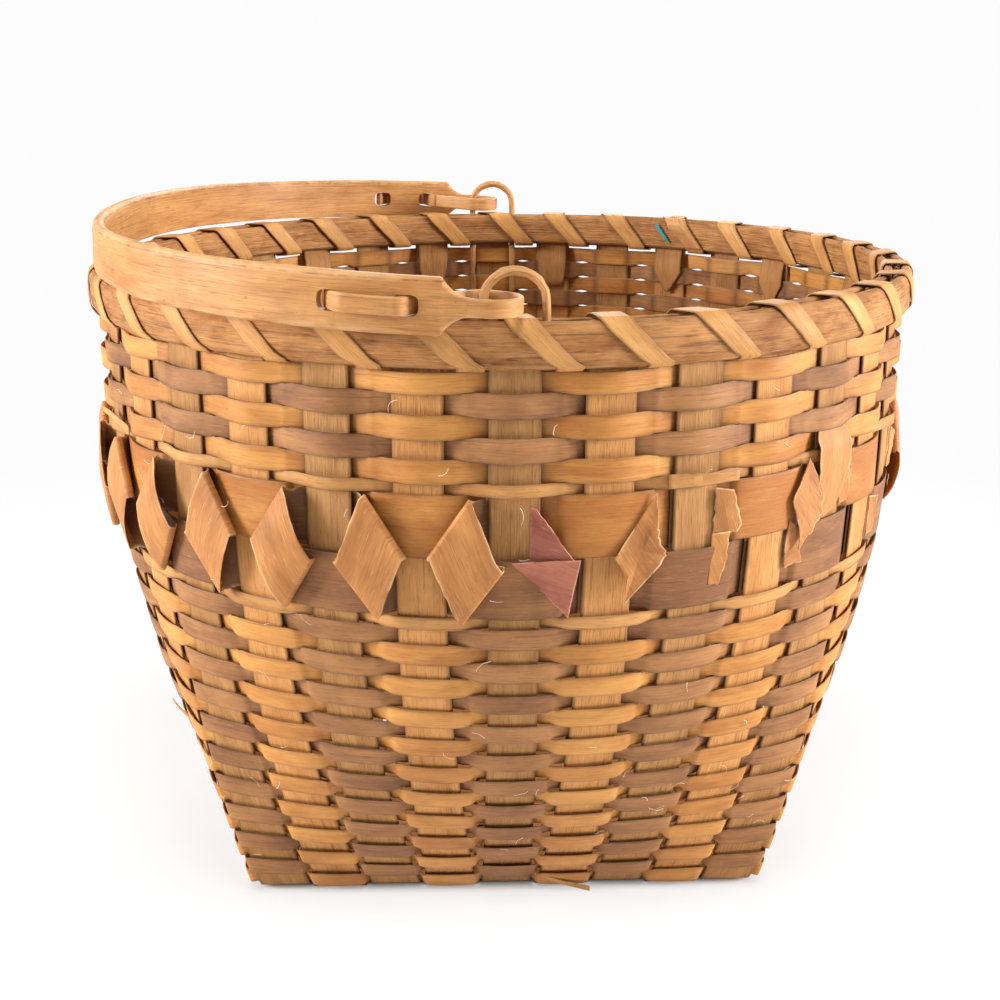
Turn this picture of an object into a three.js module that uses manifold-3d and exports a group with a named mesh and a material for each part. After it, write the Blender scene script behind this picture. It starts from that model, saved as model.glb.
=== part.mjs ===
// Splint basket with a swinging bail: a plaited oblong base, stakes that turn up into a round rim,
// rows of over-and-under weaving, a folded curl strip, two lashed rim hoops and a carved handle.
// Millimetres, +Z up, the front towards -Y. The origin is the middle of the base's underside.
import * as THREE from "three";
import Module from "manifold-3d";

const wasm = await Module();
wasm.setup();

// Gaps between pieces that touch
const layerGap = 0.4;
const weaveGap = 0.5;
const rowGap = 0.3;
const twistAllowed = 0.3;
const looseTwist = 4;

// Wall
const rimRadius = 187;
const shoulderShare = 0.7207;
const flarePowerShare = 1.85;

// Stakes, each one strip from rim to rim under the base
const frontStakes = 9;
const sideStakes = 7;
const stakeCount = 2 * (frontStakes + sideStakes);
const rimPitch = (2 * Math.PI * rimRadius) / stakeCount;
const stakeBaseWidth = 23.6;
const stakeRimWidth = 0.55 * rimPitch;
const stakeThick = 1;
const basePitch = 26.4;
const heelReach = 2.6;
const stakeTopDrop = 1.6;
const foldedEndLength = 42;
const foldedEndWidth = 17;
const foldedTipWidth = 6;
const foldedShoulder = 28;

// Rows of weaving, counted from the base
const weaverThick = 0.9;
const edgeClear = 0.8;
const bowOut = 2.1;
const lowerRows = 20;
const lowerPitch = 8.1;
const thinPitch = 4.8;
const widePitch = 0.7 * rimPitch;
const upperRows = 5;
const upperPitch = 8.7;

// Curl strip, folded between the two wide rows
const curlThick = 0.8;
const curlWidth = 0.95 * widePitch;
const curlFoldAngle = THREE.MathUtils.degToRad(55.7);
const curlBendRadius = 2.2;
const curlBulge = 1.5;
const curlLean = 1.9;
const curlTwist = 12;

// Rim hoops and their lashing
const hoopClear = 2;
const outerHoopThick = 5.4;
const outerHoopHeight = 17.3;
const outerHoopEase = 3;
const innerHoopThick = 4.4;
const innerHoopHeight = outerHoopHeight - 0.7;
const lashingThick = 0.8;
const lashingWidth = 13;
const lashingGapWidth = 7.4;
const lashingDrop = 0.9;
const lashingOuterShare = 0.5;
const lashingInnerShare = 0.4;

// Ears, the two bent withes that the bail hangs in
const earWidth = 2.8;
const earSpan = (stakeRimWidth + earWidth) / 2 + rowGap;
const earDepth = 2.4;
const earLegInset = 0.8;
const earLegDrop = 53;
const earLegTuck = 20;
const earLegStep = 2.7;
const earSteps = 8;

// Bail
const bailAxisRise = 6;
const bailReach = rimRadius;
const bailOutset = 18;
const bailHalfSpan = rimRadius + bailOutset;
const bailPower = 2.3;
const bailWidth = 22;
const bailThick = 5.5;
const bailEase = 1.2;
const bailSteps = 20;
const bailTilt = THREE.MathUtils.degToRad(2.3);
const shoulderStart = 28;
const tailStart = 18;
const tailWidth = 7;
const tailThick = 2.4;
const seamReach = 0.001;
const neckReachShares = [0.25, 0.6, 1];
const neckSizeShares = [0.58, 0.2, 0];
const ringInset = 2.2;
const ringCentre = earSpan - ringInset;
const ringRadius = 11.4;
const ringSteps = 8;
const ringOpen = THREE.MathUtils.degToRad(69);
const slotLength = 10;
const slotHeight = 8.8;
const nearSlot = 39.6;
const farSlot = 66.5;
const cutOverrun = 4;

const weaveOffset = stakeThick / 2 + weaveGap + weaverThick / 2;
const curlOffset = stakeThick / 2 + layerGap + curlThick / 2;
const wideInside = curlOffset + curlThick / 2 + layerGap + weaverThick / 2;
const baseLow = stakeThick / 2;
const baseMiddle = baseLow + stakeThick + layerGap;
const baseHigh = baseMiddle + stakeThick + layerGap;
const wallStart = baseHigh + stakeThick / 2 + layerGap;
const weavingHeight =
  lowerRows * lowerPitch + upperRows * upperPitch + 2 * thinPitch + 2 * widePitch;
const rimTop = wallStart + weavingHeight + hoopClear + outerHoopHeight;
const shoulderHeight = shoulderShare * rimTop;
const stakePitch = (2 * Math.PI) / stakeCount;
const up = new THREE.Vector3(0, 0, 1);

// Materials
const finish = (colour, roughness) =>
  new THREE.MeshStandardMaterial({ color: colour, roughness, metalness: 0 });
const stakeWood = finish(0xb08a58, 0.75);
const yellowSplint = finish(0xdca55c, 0.6);
const brownSplint = finish(0x9f6f4c, 0.7);
const tanSplint = finish(0xc08c54, 0.7);
const curlSplint = finish(0xc08650, 0.65);
const hoopWood = finish(0xb27c48, 0.8);
const lashingSplint = finish(0xcf9c5e, 0.65);
const bailWood = finish(0xd4a266, 0.55);
const witheWood = finish(0xc48f58, 0.7);

// How far the last corner of a quad stands off the plane of the others
function twist([a, b, c, d]) {
  const normal = b.clone().sub(a).cross(c.clone().sub(a)).normalize();
  return Math.abs(d.clone().sub(a).dot(normal));
}

// The two triangles of a quad, split along its shorter diagonal
function split([a, b, c, d], points) {
  const first = points[a].distanceTo(points[c]);
  const second = points[b].distanceTo(points[d]);
  return first <= second ? [a, b, c, a, c, d] : [b, c, d, b, d, a];
}

// A closed mesh lofted through sections of equal count. A quad that twists too much gets a
// middle point, so that it keeps to its ruled surface.
function loft(sections, closed, allowed = twistAllowed) {
  const perSection = sections[0].length;
  const points = sections.flat().map((p) => p.clone());
  const faces = [];
  const last = closed ? sections.length : sections.length - 1;
  for (let i = 0; i < last; i += 1) {
    const here = i * perSection;
    const next = ((i + 1) % sections.length) * perSection;
    for (let k = 0; k < perSection; k += 1) {
      const side = (k + 1) % perSection;
      const quad = [here + k, here + side, next + side, next + k];
      if (twist(quad.map((q) => points[q])) > allowed) {
        const middle = new THREE.Vector3();
        quad.forEach((q) => middle.addScaledVector(points[q], 1 / quad.length));
        points.push(middle);
        quad.forEach((q, c) => faces.push(q, quad[(c + 1) % quad.length], points.length - 1));
      } else {
        faces.push(...split(quad, points));
      }
    }
  }
  if (!closed) {
    const end = (sections.length - 1) * perSection;
    for (let k = 1; k < perSection - 1; k += 1) {
      faces.push(0, k + 1, k);
      faces.push(end, end + k, end + k + 1);
    }
  }
  return meshOf(points, faces);
}

// Geometry from points and faces, turned so that it faces outwards
function meshOf(points, faces) {
  let volume = 0;
  for (let f = 0; f < faces.length; f += 3) {
    const [a, b, c] = [points[faces[f]], points[faces[f + 1]], points[faces[f + 2]]];
    volume += a.dot(b.clone().cross(c));
  }
  if (volume < 0) {
    for (let f = 0; f < faces.length; f += 3) {
      [faces[f + 1], faces[f + 2]] = [faces[f + 2], faces[f + 1]];
    }
  }
  const flat = new Float32Array(points.length * 3);
  points.forEach((p, i) => p.toArray(flat, i * 3));
  const geometry = new THREE.BufferGeometry();
  geometry.setAttribute("position", new THREE.BufferAttribute(flat, 3));
  geometry.setIndex(faces);
  return geometry;
}

function solidOf(geometry) {
  return new wasm.Manifold(
    new wasm.Mesh({
      numProp: 3,
      vertProperties: geometry.attributes.position.array,
      triVerts: new Uint32Array(geometry.index.array),
    }),
  );
}

function geometryOf(solid) {
  const mesh = solid.getMesh();
  const geometry = new THREE.BufferGeometry();
  geometry.setAttribute("position", new THREE.BufferAttribute(mesh.vertProperties, 3));
  geometry.setIndex(new THREE.BufferAttribute(mesh.triVerts, 1));
  return geometry;
}

// Rows of the wall from the base up: height range, the stakes it passes over, and its splint
function wallRows() {
  const rows = [];
  let low = wallStart;
  const add = (name, pitch, kind, wood) => {
    rows.push({ name, low, high: low + pitch, overOdd: rows.length % 2 === 0, kind, wood });
    low += pitch;
  };
  for (let i = 0; i < lowerRows; i += 1) {
    const wood = rows.length % 2 === 0 ? yellowSplint : brownSplint;
    add("weaver_lower_" + String(i + 1).padStart(2, "0"), lowerPitch, "narrow", wood);
  }
  add("weaver_below_bands", thinPitch, "narrow", tanSplint);
  add("band_brown", widePitch, "wide", brownSplint);
  add("band_yellow", widePitch, "wide", yellowSplint);
  add("weaver_above_bands", thinPitch, "bowed", tanSplint);
  for (let i = 0; i < upperRows; i += 1) {
    const wood = rows.length % 2 === 0 ? yellowSplint : brownSplint;
    add("weaver_upper_" + (i + 1), upperPitch, "bowed", wood);
  }
  return rows;
}

const rows = wallRows();
const bandRow = rows.findIndex((row) => row.kind === "wide");
const bandMiddle = rows[bandRow].high;

// Heights at which a stake bends, each at the edge of a row
const rowsPerBend = 4;
const bends = [];
for (let i = 0; i < lowerRows; i += rowsPerBend) {
  bends.push(rows[i].low);
}
bends.push(rows[bandRow].low, rows[bandRow + 1].high, rimTop - stakeTopDrop);

// Share of the way from the base's outline to the rim's circle at a height
function flare(height) {
  const part = Math.min((height - wallStart) / (shoulderHeight - wallStart), 1);
  return 1 - (1 - part) ** flarePowerShare;
}

// Where a stake leaves the base, and the way along the base's edge there
function stakeFoot(index) {
  const halfLong = ((frontStakes - 1) * basePitch + stakeBaseWidth) / 2 + heelReach;
  const halfDeep = ((sideStakes - 1) * basePitch + stakeBaseWidth) / 2 + heelReach;
  const side = index < frontStakes ? 0 : index < frontStakes + sideStakes ? 1 : 2;
  if (side === 0) {
    const along = (index - (frontStakes - 1) / 2) * basePitch;
    return { foot: new THREE.Vector3(along, -halfDeep, 0), way: new THREE.Vector3(1, 0, 0) };
  }
  if (side === 1) {
    const along = (index - frontStakes - (sideStakes - 1) / 2) * basePitch;
    return { foot: new THREE.Vector3(halfLong, along, 0), way: new THREE.Vector3(0, 1, 0) };
  }
  const opposite = stakeFoot(index - frontStakes - sideStakes);
  return { foot: opposite.foot.negate(), way: opposite.way.negate() };
}

// Middle line, width direction and half width of each stake at each bend
const stakeAngle = (index) => (index - (frontStakes - 1) / 2) * stakePitch;
const stakeLines = Array.from({ length: stakeCount }, (_, index) => {
  const { foot, way } = stakeFoot(index);
  const angle = stakeAngle(index);
  const rim = new THREE.Vector3(Math.sin(angle), -Math.cos(angle), 0).multiplyScalar(rimRadius);
  const rimWay = new THREE.Vector3(Math.cos(angle), Math.sin(angle), 0);
  return bends.map((height) => ({
    middle: foot.clone().lerp(rim, flare(height)).setZ(height),
    way: way.clone().lerp(rimWay, flare(height)).normalize(),
    half: (stakeBaseWidth + (stakeRimWidth - stakeBaseWidth) * flare(height)) / 2,
  }));
});

// A point off a stake's edge: side is -1, 0 for its middle or 1, past is beyond the edge
const edgePoint = (line, side, past = 0) =>
  line.middle.clone().addScaledVector(line.way, side * (line.half + past));

// Outward normal of one bend-to-bend length of a stake, at its middle or an edge
function panelNormal(index, panel, side) {
  const [low, high] = [stakeLines[index][panel], stakeLines[index][panel + 1]];
  const rise = edgePoint(high, side).sub(edgePoint(low, side));
  return low.way.clone().add(high.way).cross(rise).normalize();
}

// A point by a stake: at its middle or past an edge, at a height, and out from its middle plane
function wallPoint(index, side, past, height, out) {
  let panel = bends.findIndex((bend) => bend > height) - 1;
  if (panel < 0) panel = height < wallStart + rowGap ? 0 : bends.length - 2;
  const share = (height - bends[panel]) / (bends[panel + 1] - bends[panel]);
  const low = edgePoint(stakeLines[index][panel], side, past);
  const high = edgePoint(stakeLines[index][panel + 1], side, past);
  return low.lerp(high, share).addScaledVector(panelNormal(index, panel, side), out);
}

const mitre = (a, b) => a.clone().add(b).divideScalar(1 + a.dot(b));

// One section of a strip: its middle, its width and its outward direction
function stripSection(middle, across, out, width, thick) {
  const corner = (side, face) =>
    middle.clone().addScaledVector(across, (side * width) / 2)
      .addScaledVector(out, (face * thick) / 2);
  return [corner(-1, 1), corner(1, 1), corner(1, -1), corner(-1, -1)];
}

// Sections of a stake's upright from the rim down. turn is -1 where the strip arrives at the rim.
function uprightSections(index, turn, heelHeight) {
  const sections = [];
  for (let bend = bends.length - 1; bend >= 0; bend -= 1) {
    const outs = [-1, 1].map((side) => {
      const below = panelNormal(index, Math.max(bend - 1, 0), side);
      const above = panelNormal(index, Math.min(bend, bends.length - 2), side);
      return bend === 0 ? mitre(above, heelNormal(index, heelHeight)) : mitre(below, above);
    });
    const line = stakeLines[index][bend];
    const corner = (side, face) =>
      edgePoint(line, side).addScaledVector(outs[side < 0 ? 0 : 1], (face * stakeThick) / 2);
    sections.push([corner(-turn, 1), corner(turn, 1), corner(turn, -1), corner(-turn, -1)]);
  }
  return sections;
}

// Where the strip leaves the flat of the base for its heel, and the heel's outward normal
function heelPoint(index, height) {
  const { middle, way } = stakeLines[index][0];
  const outward = way.clone().cross(up);
  return middle.clone().addScaledVector(outward, layerGap - heelReach).setZ(height);
}

function heelNormal(index, height) {
  const { middle, way } = stakeLines[index][0];
  return way.clone().cross(middle.clone().sub(heelPoint(index, height))).normalize();
}

// The end of every other stake, folded over inside the rim and tucked down over the second row
function foldedEnd(index, turn) {
  const { way } = stakeLines[index][bends.length - 1];
  const inside = -(stakeThick + layerGap);
  const clearOfRow = -(weaveOffset + weaverThick / 2 + layerGap + stakeThick / 2);
  const top = rimTop - stakeTopDrop;
  const outward = panelNormal(index, bends.length - 2, 0);
  const across = way.clone().multiplyScalar(turn);
  const inward = outward.clone().negate();
  const at = (drop, out) => wallPoint(index, 0, 0, top - drop, out);
  const place = (drop, out, width, face) =>
    stripSection(at(drop, out), across, face, width, stakeThick);
  const crown = at(-stakeThick / 2, inside / 2);
  return [
    place(foldedEndLength, clearOfRow, foldedTipWidth, inward),
    place(foldedShoulder, clearOfRow, foldedEndWidth, inward),
    place(innerHoopHeight + stakeTopDrop / 2, inside, foldedEndWidth, inward),
    place(0, inside, foldedEndWidth, inward),
    stripSection(crown, across, up, foldedEndWidth, stakeThick),
  ];
}

// The stations of a side-to-side strip in the base, under and over the front-to-back strips
function basePlait(row) {
  const stations = [];
  const reach = stakeBaseWidth / 2 + layerGap;
  for (let i = frontStakes - 1; i >= 0; i -= 1) {
    const x = (i - (frontStakes - 1) / 2) * basePitch;
    const height = (i + row) % 2 === 0 ? baseHigh : baseLow;
    stations.push({ along: x + reach, height }, { along: x - reach, height });
  }
  return stations;
}

// One stake: up one wall, across the base and up the opposite wall
function stakeStrip(start, end, plait) {
  const heelHeight = plait ? plait[0].height : baseMiddle;
  const down = uprightSections(start, 1, heelHeight);
  const back = uprightSections(end, -1, heelHeight).reverse();
  const across = stakeLines[start][0].way;
  const under = up.clone().negate();
  const flat = (middle) => stripSection(middle, across, under, stakeBaseWidth, stakeThick);
  const inBase = [];
  if (plait) {
    const y = stakeLines[start][0].middle.y;
    plait.forEach(({ along, height }) => inBase.push(flat(new THREE.Vector3(along, y, height))));
  } else {
    inBase.push(flat(heelPoint(start, baseMiddle)), flat(heelPoint(end, baseMiddle)));
  }
  const folded = start % 2 === 1;
  const first = folded ? foldedEnd(start, 1) : [];
  const last = folded ? foldedEnd(end, -1).reverse() : [];
  return loft([...first, ...down, ...inBase, ...back, ...last], false);
}

// A row of weaving, a splint that is flat outside and bellied inside. An upper row bows out over
// each stake that it passes over.
function weaverRing(row) {
  const low = row.low + rowGap / 2;
  const high = row.high - rowGap / 2;
  const half = weaverThick / 2;
  const sections = [];
  const station = (index, side, out) => {
    const past = Math.abs(side) * edgeClear;
    const at = (height, depth) => wallPoint(index, side, past, height, out + depth);
    sections.push([at(low, half), at(high, half), at((low + high) / 2, -half)]);
  };
  for (let index = 0; index < stakeCount; index += 1) {
    const over = (index % 2 === 1) === row.overOdd;
    const out = over ? weaveOffset : row.kind === "wide" ? -wideInside : -weaveOffset;
    if (over && row.kind === "bowed") {
      station(index, 0, weaveOffset + bowOut);
    } else {
      station(index, -1, out);
      station(index, 1, out);
    }
  }
  return loft(sections, true, looseTwist);
}

// The curl strip: behind a stake, out into the gap, folded over on a slant to the other wide row,
// folded back and behind the next stake. Sections are parallel to the folds.
function curlStrip() {
  const sections = [];
  const lapOut = weaveOffset + weaverThick / 2 + curlThick / 2 + 3 * layerGap;
  const slack = (widePitch - curlWidth) / 2;
  const levels = { upper: bandMiddle + slack, lower: bandMiddle - slack - curlWidth };
  const behind = (index, side, level) => {
    const at = (height, depth) => wallPoint(index, side, edgeClear, height, depth - curlOffset);
    const [low, high] = [levels[level], levels[level] + curlWidth];
    const half = curlThick / 2;
    return [at(low, half), at(high, half), at(high, -half), at(low, -half)];
  };
  for (let index = 0; index < stakeCount; index += 1) {
    const next = (index + 1) % stakeCount;
    const rises = index % 2 === 1;
    const [from, to] = rises ? ["lower", "upper"] : ["upper", "lower"];
    const left = wallPoint(index, 1, 0, bandMiddle, 0);
    const right = wallPoint(next, -1, 0, bandMiddle, 0);
    const centre = left.clone().add(right).divideScalar(2);
    const across = right.clone().sub(left).normalize();
    const rise = wallPoint(index, 1, 0, rows[bandRow + 1].high, 0)
      .sub(wallPoint(index, 1, 0, rows[bandRow].low, 0));
    const out = across.clone().cross(rise).normalize();
    const along = out.clone().cross(across);
    const tilt = rises ? -1 : 1;
    const foldWay = across.clone().multiplyScalar(-Math.cos(curlFoldAngle))
      .addScaledVector(along, tilt * Math.sin(curlFoldAngle));
    const foldOff = across.clone().multiplyScalar(Math.sin(curlFoldAngle))
      .addScaledVector(along, tilt * Math.cos(curlFoldAngle));
    const halfFold = curlWidth / 2 / Math.sin(curlFoldAngle);
    const shift = widePitch / 2 / Math.tan(Math.PI - 2 * curlFoldAngle);
    const foldSection = (end, lift, past, face) => {
      const middle = centre.clone().addScaledVector(across, end * shift)
        .addScaledVector(along, end * tilt * (widePitch / 2))
        .addScaledVector(out, lapOut + lift)
        .addScaledVector(foldOff, end * past);
      const corner = (side, depth) =>
        middle.clone().addScaledVector(foldWay, side * tilt * halfFold)
          .addScaledVector(out, (-end * tilt * side * curlLean) / 2)
          .addScaledVector(face, (depth * curlThick) / 2);
      return [corner(-1, 1), corner(1, 1), corner(1, -1), corner(-1, -1)];
    };
    const inward = out.clone().negate();
    const away = foldOff.clone().negate();
    const radius = curlBendRadius;
    sections.push(
      behind(index, 1, from),
      foldSection(1, 0, 0, out),
      foldSection(1, radius, radius, away),
      foldSection(1, 2 * radius, 0, inward),
      foldSection(0, 2 * radius + curlBulge, 0, inward),
      foldSection(-1, 2 * radius, 0, inward),
      foldSection(-1, radius, radius, foldOff),
      foldSection(-1, 0, 0, out),
      behind(next, -1, to),
    );
  }
  return loft(sections, true, curlTwist);
}

// A hoop of flat lengths, one against each stake, with its corners over the gaps
function hoop(profile) {
  const sections = [];
  for (let index = 0; index < stakeCount; index += 1) {
    const angle = stakeAngle(index) + stakePitch / 2;
    sections.push(profile.map(([radius, height]) => {
      const reach = radius / Math.cos(stakePitch / 2);
      return new THREE.Vector3(Math.sin(angle) * reach, -Math.cos(angle) * reach, height);
    }));
  }
  return loft(sections, true);
}

const outerHoopInside = rimRadius + stakeThick / 2 + layerGap;
const outerHoopOutside = outerHoopInside + outerHoopThick;
const outerHoopBottom = rimTop - outerHoopHeight;
const innerHoopOutside = rimRadius - stakeThick / 2 - stakeThick - 2 * layerGap;
const innerHoopInside = innerHoopOutside - innerHoopThick;
const innerHoopBottom = rimTop - innerHoopHeight;

const outerHoop = () => hoop([
  [outerHoopInside, outerHoopBottom],
  [outerHoopInside, rimTop],
  [outerHoopOutside - outerHoopEase, rimTop],
  [outerHoopOutside, rimTop - outerHoopEase],
  [outerHoopOutside, outerHoopBottom + outerHoopEase],
  [outerHoopOutside - outerHoopEase, outerHoopBottom],
]);

const innerHoop = () => hoop([
  [innerHoopInside, innerHoopBottom],
  [innerHoopInside, rimTop],
  [innerHoopOutside, rimTop],
  [innerHoopOutside, innerHoopBottom],
]);

// The lashing: one long splint wound round both hoops, down through every gap between stakes
function lashing() {
  const sections = [];
  const offFacet = (angle) => {
    const part = angle / stakePitch;
    return Math.abs(part - Math.round(part)) * stakePitch;
  };
  const station = (angle, radius, height, outR, outZ, width) => {
    const radial = new THREE.Vector3(Math.sin(angle), -Math.cos(angle), 0);
    const tangent = new THREE.Vector3(Math.cos(angle), Math.sin(angle), 0);
    const corner = (side, depth) =>
      radial.clone().multiplyScalar(radius + depth * outR * lashingThick)
        .addScaledVector(tangent, (side * width) / 2)
        .setZ(height + depth * outZ * lashingThick);
    return [corner(-1, 1), corner(1, 1), corner(0, 0)];
  };
  for (let index = 0; index < stakeCount; index += 1) {
    const gap = stakeAngle(index) + stakePitch / 2;
    const start = gap - lashingOuterShare * stakePitch;
    const finishAngle = gap + lashingInnerShare * stakePitch;
    const outside = (angle) => (outerHoopOutside + layerGap) / Math.cos(offFacet(angle));
    const inside = (angle, width) =>
      (innerHoopInside - layerGap - (width / 2) * Math.sin(offFacet(angle))) /
      Math.cos(offFacet(angle));
    const over = rimTop + layerGap;
    sections.push(
      station(start, outside(start), over, 1, 1, lashingWidth),
      station(gap, outside(gap), outerHoopBottom - lashingDrop, 1, -1, lashingGapWidth),
      station(gap, inside(gap, lashingGapWidth), innerHoopBottom - lashingDrop, -1, -1,
        lashingGapWidth),
      station(finishAngle, inside(finishAngle, lashingWidth), over, -1, 1, lashingWidth),
    );
  }
  return loft(sections, true, looseTwist);
}

// An ear: legs down inside the wall either side of a stake, and a round arch above the rim
const bailAxis = rimTop + bailAxisRise;
function ear(index) {
  const frame = (along, height, inset) => {
    const facet = stakeAngle(index);
    return new THREE.Vector3(
      Math.cos(facet) * along + Math.sin(facet) * (rimRadius - inset),
      Math.sin(facet) * along - Math.cos(facet) * (rimRadius - inset),
      height,
    );
  };
  const tuck = weaveOffset + weaverThick / 2 + layerGap + earDepth / 2;
  const legLow = bailAxis - earLegDrop;
  const legTuck = rimTop - earLegTuck;
  const section = (along, height, inset, wayX, wayZ) => {
    const corner = (side, depth) =>
      frame(along + (side * wayX * earWidth) / 2, height + (side * wayZ * earWidth) / 2,
        inset + (depth * earDepth) / 2);
    return [corner(-1, 0), corner(-0.5, 1), corner(0.5, 1), corner(1, 0), corner(0.5, -1),
      corner(-0.5, -1)];
  };
  const leg = (side) => [
    section(side * earSpan, legLow, tuck, 1, 0),
    section(side * earSpan, legTuck, tuck, 1, 0),
    section(side * earSpan, legTuck + earLegStep, earLegInset, 1, 0),
  ];
  const arch = [];
  for (let i = 0; i <= earSteps; i += 1) {
    const angle = Math.PI * (1 - i / earSteps);
    const [x, z] = [Math.cos(angle), Math.sin(angle)];
    arch.push(section(x * earSpan, bailAxis + z * earSpan, earLegInset, -x, -z));
  }
  const right = leg(1).reverse().map(([a, b, c, d, e, f]) => [d, c, b, a, f, e]);
  return loft([...leg(-1), ...arch, ...right], false);
}

// The bail, drawn flat: across from the hinge axis along -X, its ends at -Y and +Y
function bailCurve(angle) {
  const a = (bailReach - bailThick / 2) * Math.cos(angle) ** (2 / bailPower);
  const b = (bailHalfSpan - bailThick / 2) * Math.abs(Math.sin(angle)) ** (2 / bailPower);
  return new THREE.Vector3(-a, Math.sign(angle) * b, 0);
}

// Half-span of the bail's middle line at a distance from the hinge axis
function bailSpanAt(reach) {
  const share = (reach / (bailReach - bailThick / 2)) ** bailPower;
  return (bailHalfSpan - bailThick / 2) * (1 - share) ** (1 / bailPower);
}

// A section of bent wood that stands on edge: a rectangle with eased corners. Each corner is a
// side outwards, a side up, and the easing outwards and up.
function edgeSection(middle, direction, width, thick, ease) {
  const out = direction.clone().cross(up).normalize();
  const corners = [
    [1, 1, 0, -1], [1, -1, 0, 1], [1, -1, -1, 0], [-1, -1, 1, 0],
    [-1, -1, 0, 1], [-1, 1, 0, -1], [-1, 1, 1, 0], [1, 1, -1, 0],
  ];
  return corners.map(([face, side, easeOut, easeUp]) =>
    middle.clone()
      .addScaledVector(out, (face * thick) / 2 + easeOut * ease)
      .addScaledVector(up, (side * width) / 2 + easeUp * ease));
}

function sweep(stations) {
  return stations.map(({ point, size }, i) => {
    const before = stations[Math.max(i - 1, 0)].point;
    const after = stations[Math.min(i + 1, stations.length - 1)].point;
    return edgeSection(point, after.clone().sub(before), size.width, size.thick, size.ease);
  });
}

// A station on the bail's middle line, or out from it. share is 1 in the broad part, 0 in the tail.
function bailStation(reach, out, share) {
  const width = tailWidth + (bailWidth - tailWidth) * share;
  const thick = tailThick + (bailThick - tailThick) * share;
  const point = new THREE.Vector3(-reach, bailSpanAt(reach) + out, 0);
  return { point, size: { width, thick, ease: (bailEase * thick) / bailThick } };
}

// The broad part from shoulder to shoulder
function bandStations() {
  const full = Math.acos((shoulderStart / (bailReach - bailThick / 2)) ** (bailPower / 2));
  const size = { width: bailWidth, thick: bailThick, ease: bailEase };
  return Array.from({ length: bailSteps + 1 }, (_, i) => {
    return { point: bailCurve(full * ((2 * i) / bailSteps - 1)), size };
  });
}

// One end: drawn in to the tail, round the ear, back inside, out through the near slot and in
// again at the far one
function tailStations() {
  const stations = neckReachShares.map((along, i) =>
    bailStation(shoulderStart + (tailStart - shoulderStart) * along, 0, neckSizeShares[i]));
  const { size } = bailStation(tailStart, 0, 0);
  const ringSpan = bailSpanAt(ringCentre) + tailThick / 2 - ringRadius;
  for (let i = 0; i <= ringSteps; i += 1) {
    const angle = ringOpen + ((2 * Math.PI - 2 * ringOpen) * i) / ringSteps;
    const x = -ringCentre - ringRadius * Math.cos(angle);
    const y = ringSpan + ringRadius * Math.sin(angle);
    stations.push({ point: new THREE.Vector3(x, y, 0), size });
  }
  const half = slotLength / 2;
  const clear = bailThick / 2 + tailThick / 2 + 2 * layerGap;
  stations.push(
    bailStation(nearSlot - half, -clear - tailThick / 2, 0),
    bailStation(nearSlot + half - tailThick, clear, 0),
    bailStation((nearSlot + farSlot) / 2, clear, 0),
    bailStation(farSlot - half + tailThick, clear, 0),
    bailStation(farSlot + half - tailThick, -bailThick / 4, 0),
  );
  return stations;
}

// Joins solids that share whole end sections, leaving out the faces that lie on those sections
function joinAt(geometries, seams) {
  const seam = seams.flat();
  const points = [];
  const faces = [];
  const corner = (positions, i) => {
    const p = new THREE.Vector3().fromBufferAttribute(positions, i);
    const known = points.findIndex((q) => q.distanceTo(p) < seamReach);
    return known >= 0 ? known : points.push(p) - 1;
  };
  const onSeam = (p) => seam.some((q) => q.distanceTo(points[p]) < seamReach);
  for (const geometry of geometries) {
    const { index } = geometry;
    for (let f = 0; f < index.count; f += 3) {
      const face = [0, 1, 2].map((c) => corner(geometry.attributes.position, index.getX(f + c)));
      if (!face.every(onSeam)) faces.push(...face);
    }
  }
  return meshOf(points, faces);
}

function slotCut(reach, side) {
  const slope = (bailSpanAt(reach + cutOverrun) - bailSpanAt(reach - cutOverrun)) / cutOverrun / 2;
  const box = new THREE.BoxGeometry(slotLength, bailThick + 2 * cutOverrun, slotHeight);
  box.rotateZ(-side * Math.atan(slope));
  box.translate(-reach, side * bailSpanAt(reach), 0);
  box.deleteAttribute("normal");
  box.deleteAttribute("uv");
  return wasm.Manifold.hull(pointsOf(box));
}

function pointsOf(geometry) {
  const { array, count } = geometry.attributes.position;
  return Array.from({ length: count }, (_, i) => Array.from(array.slice(i * 3, i * 3 + 3)));
}

function bail() {
  const tail = tailStations();
  const turned = tail.map(({ point, size }) => ({
    point: new THREE.Vector3(point.x, -point.y, point.z),
    size,
  }));
  const sections = sweep([...turned.reverse(), ...bandStations(), ...tail]);
  const neckEnd = tail.length - neckReachShares.length;
  const bandEnd = sections.length - 1 - neckEnd;
  const part = (from, to) => loft(sections.slice(from, to + 1), false, looseTwist);
  let band = solidOf(part(neckEnd, bandEnd));
  for (const side of [-1, 1]) {
    for (const reach of [nearSlot, farSlot]) {
      band = band.subtract(slotCut(reach, side));
    }
  }
  const tails = [part(0, neckEnd), part(bandEnd, sections.length - 1)];
  return joinAt([geometryOf(band), ...tails], [sections[neckEnd], sections[bandEnd]]);
}

// Assembly
const basket = new THREE.Group();
function place(name, geometry, material, parent = basket) {
  const mesh = new THREE.Mesh(geometry, material);
  mesh.name = name;
  parent.add(mesh);
}

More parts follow.
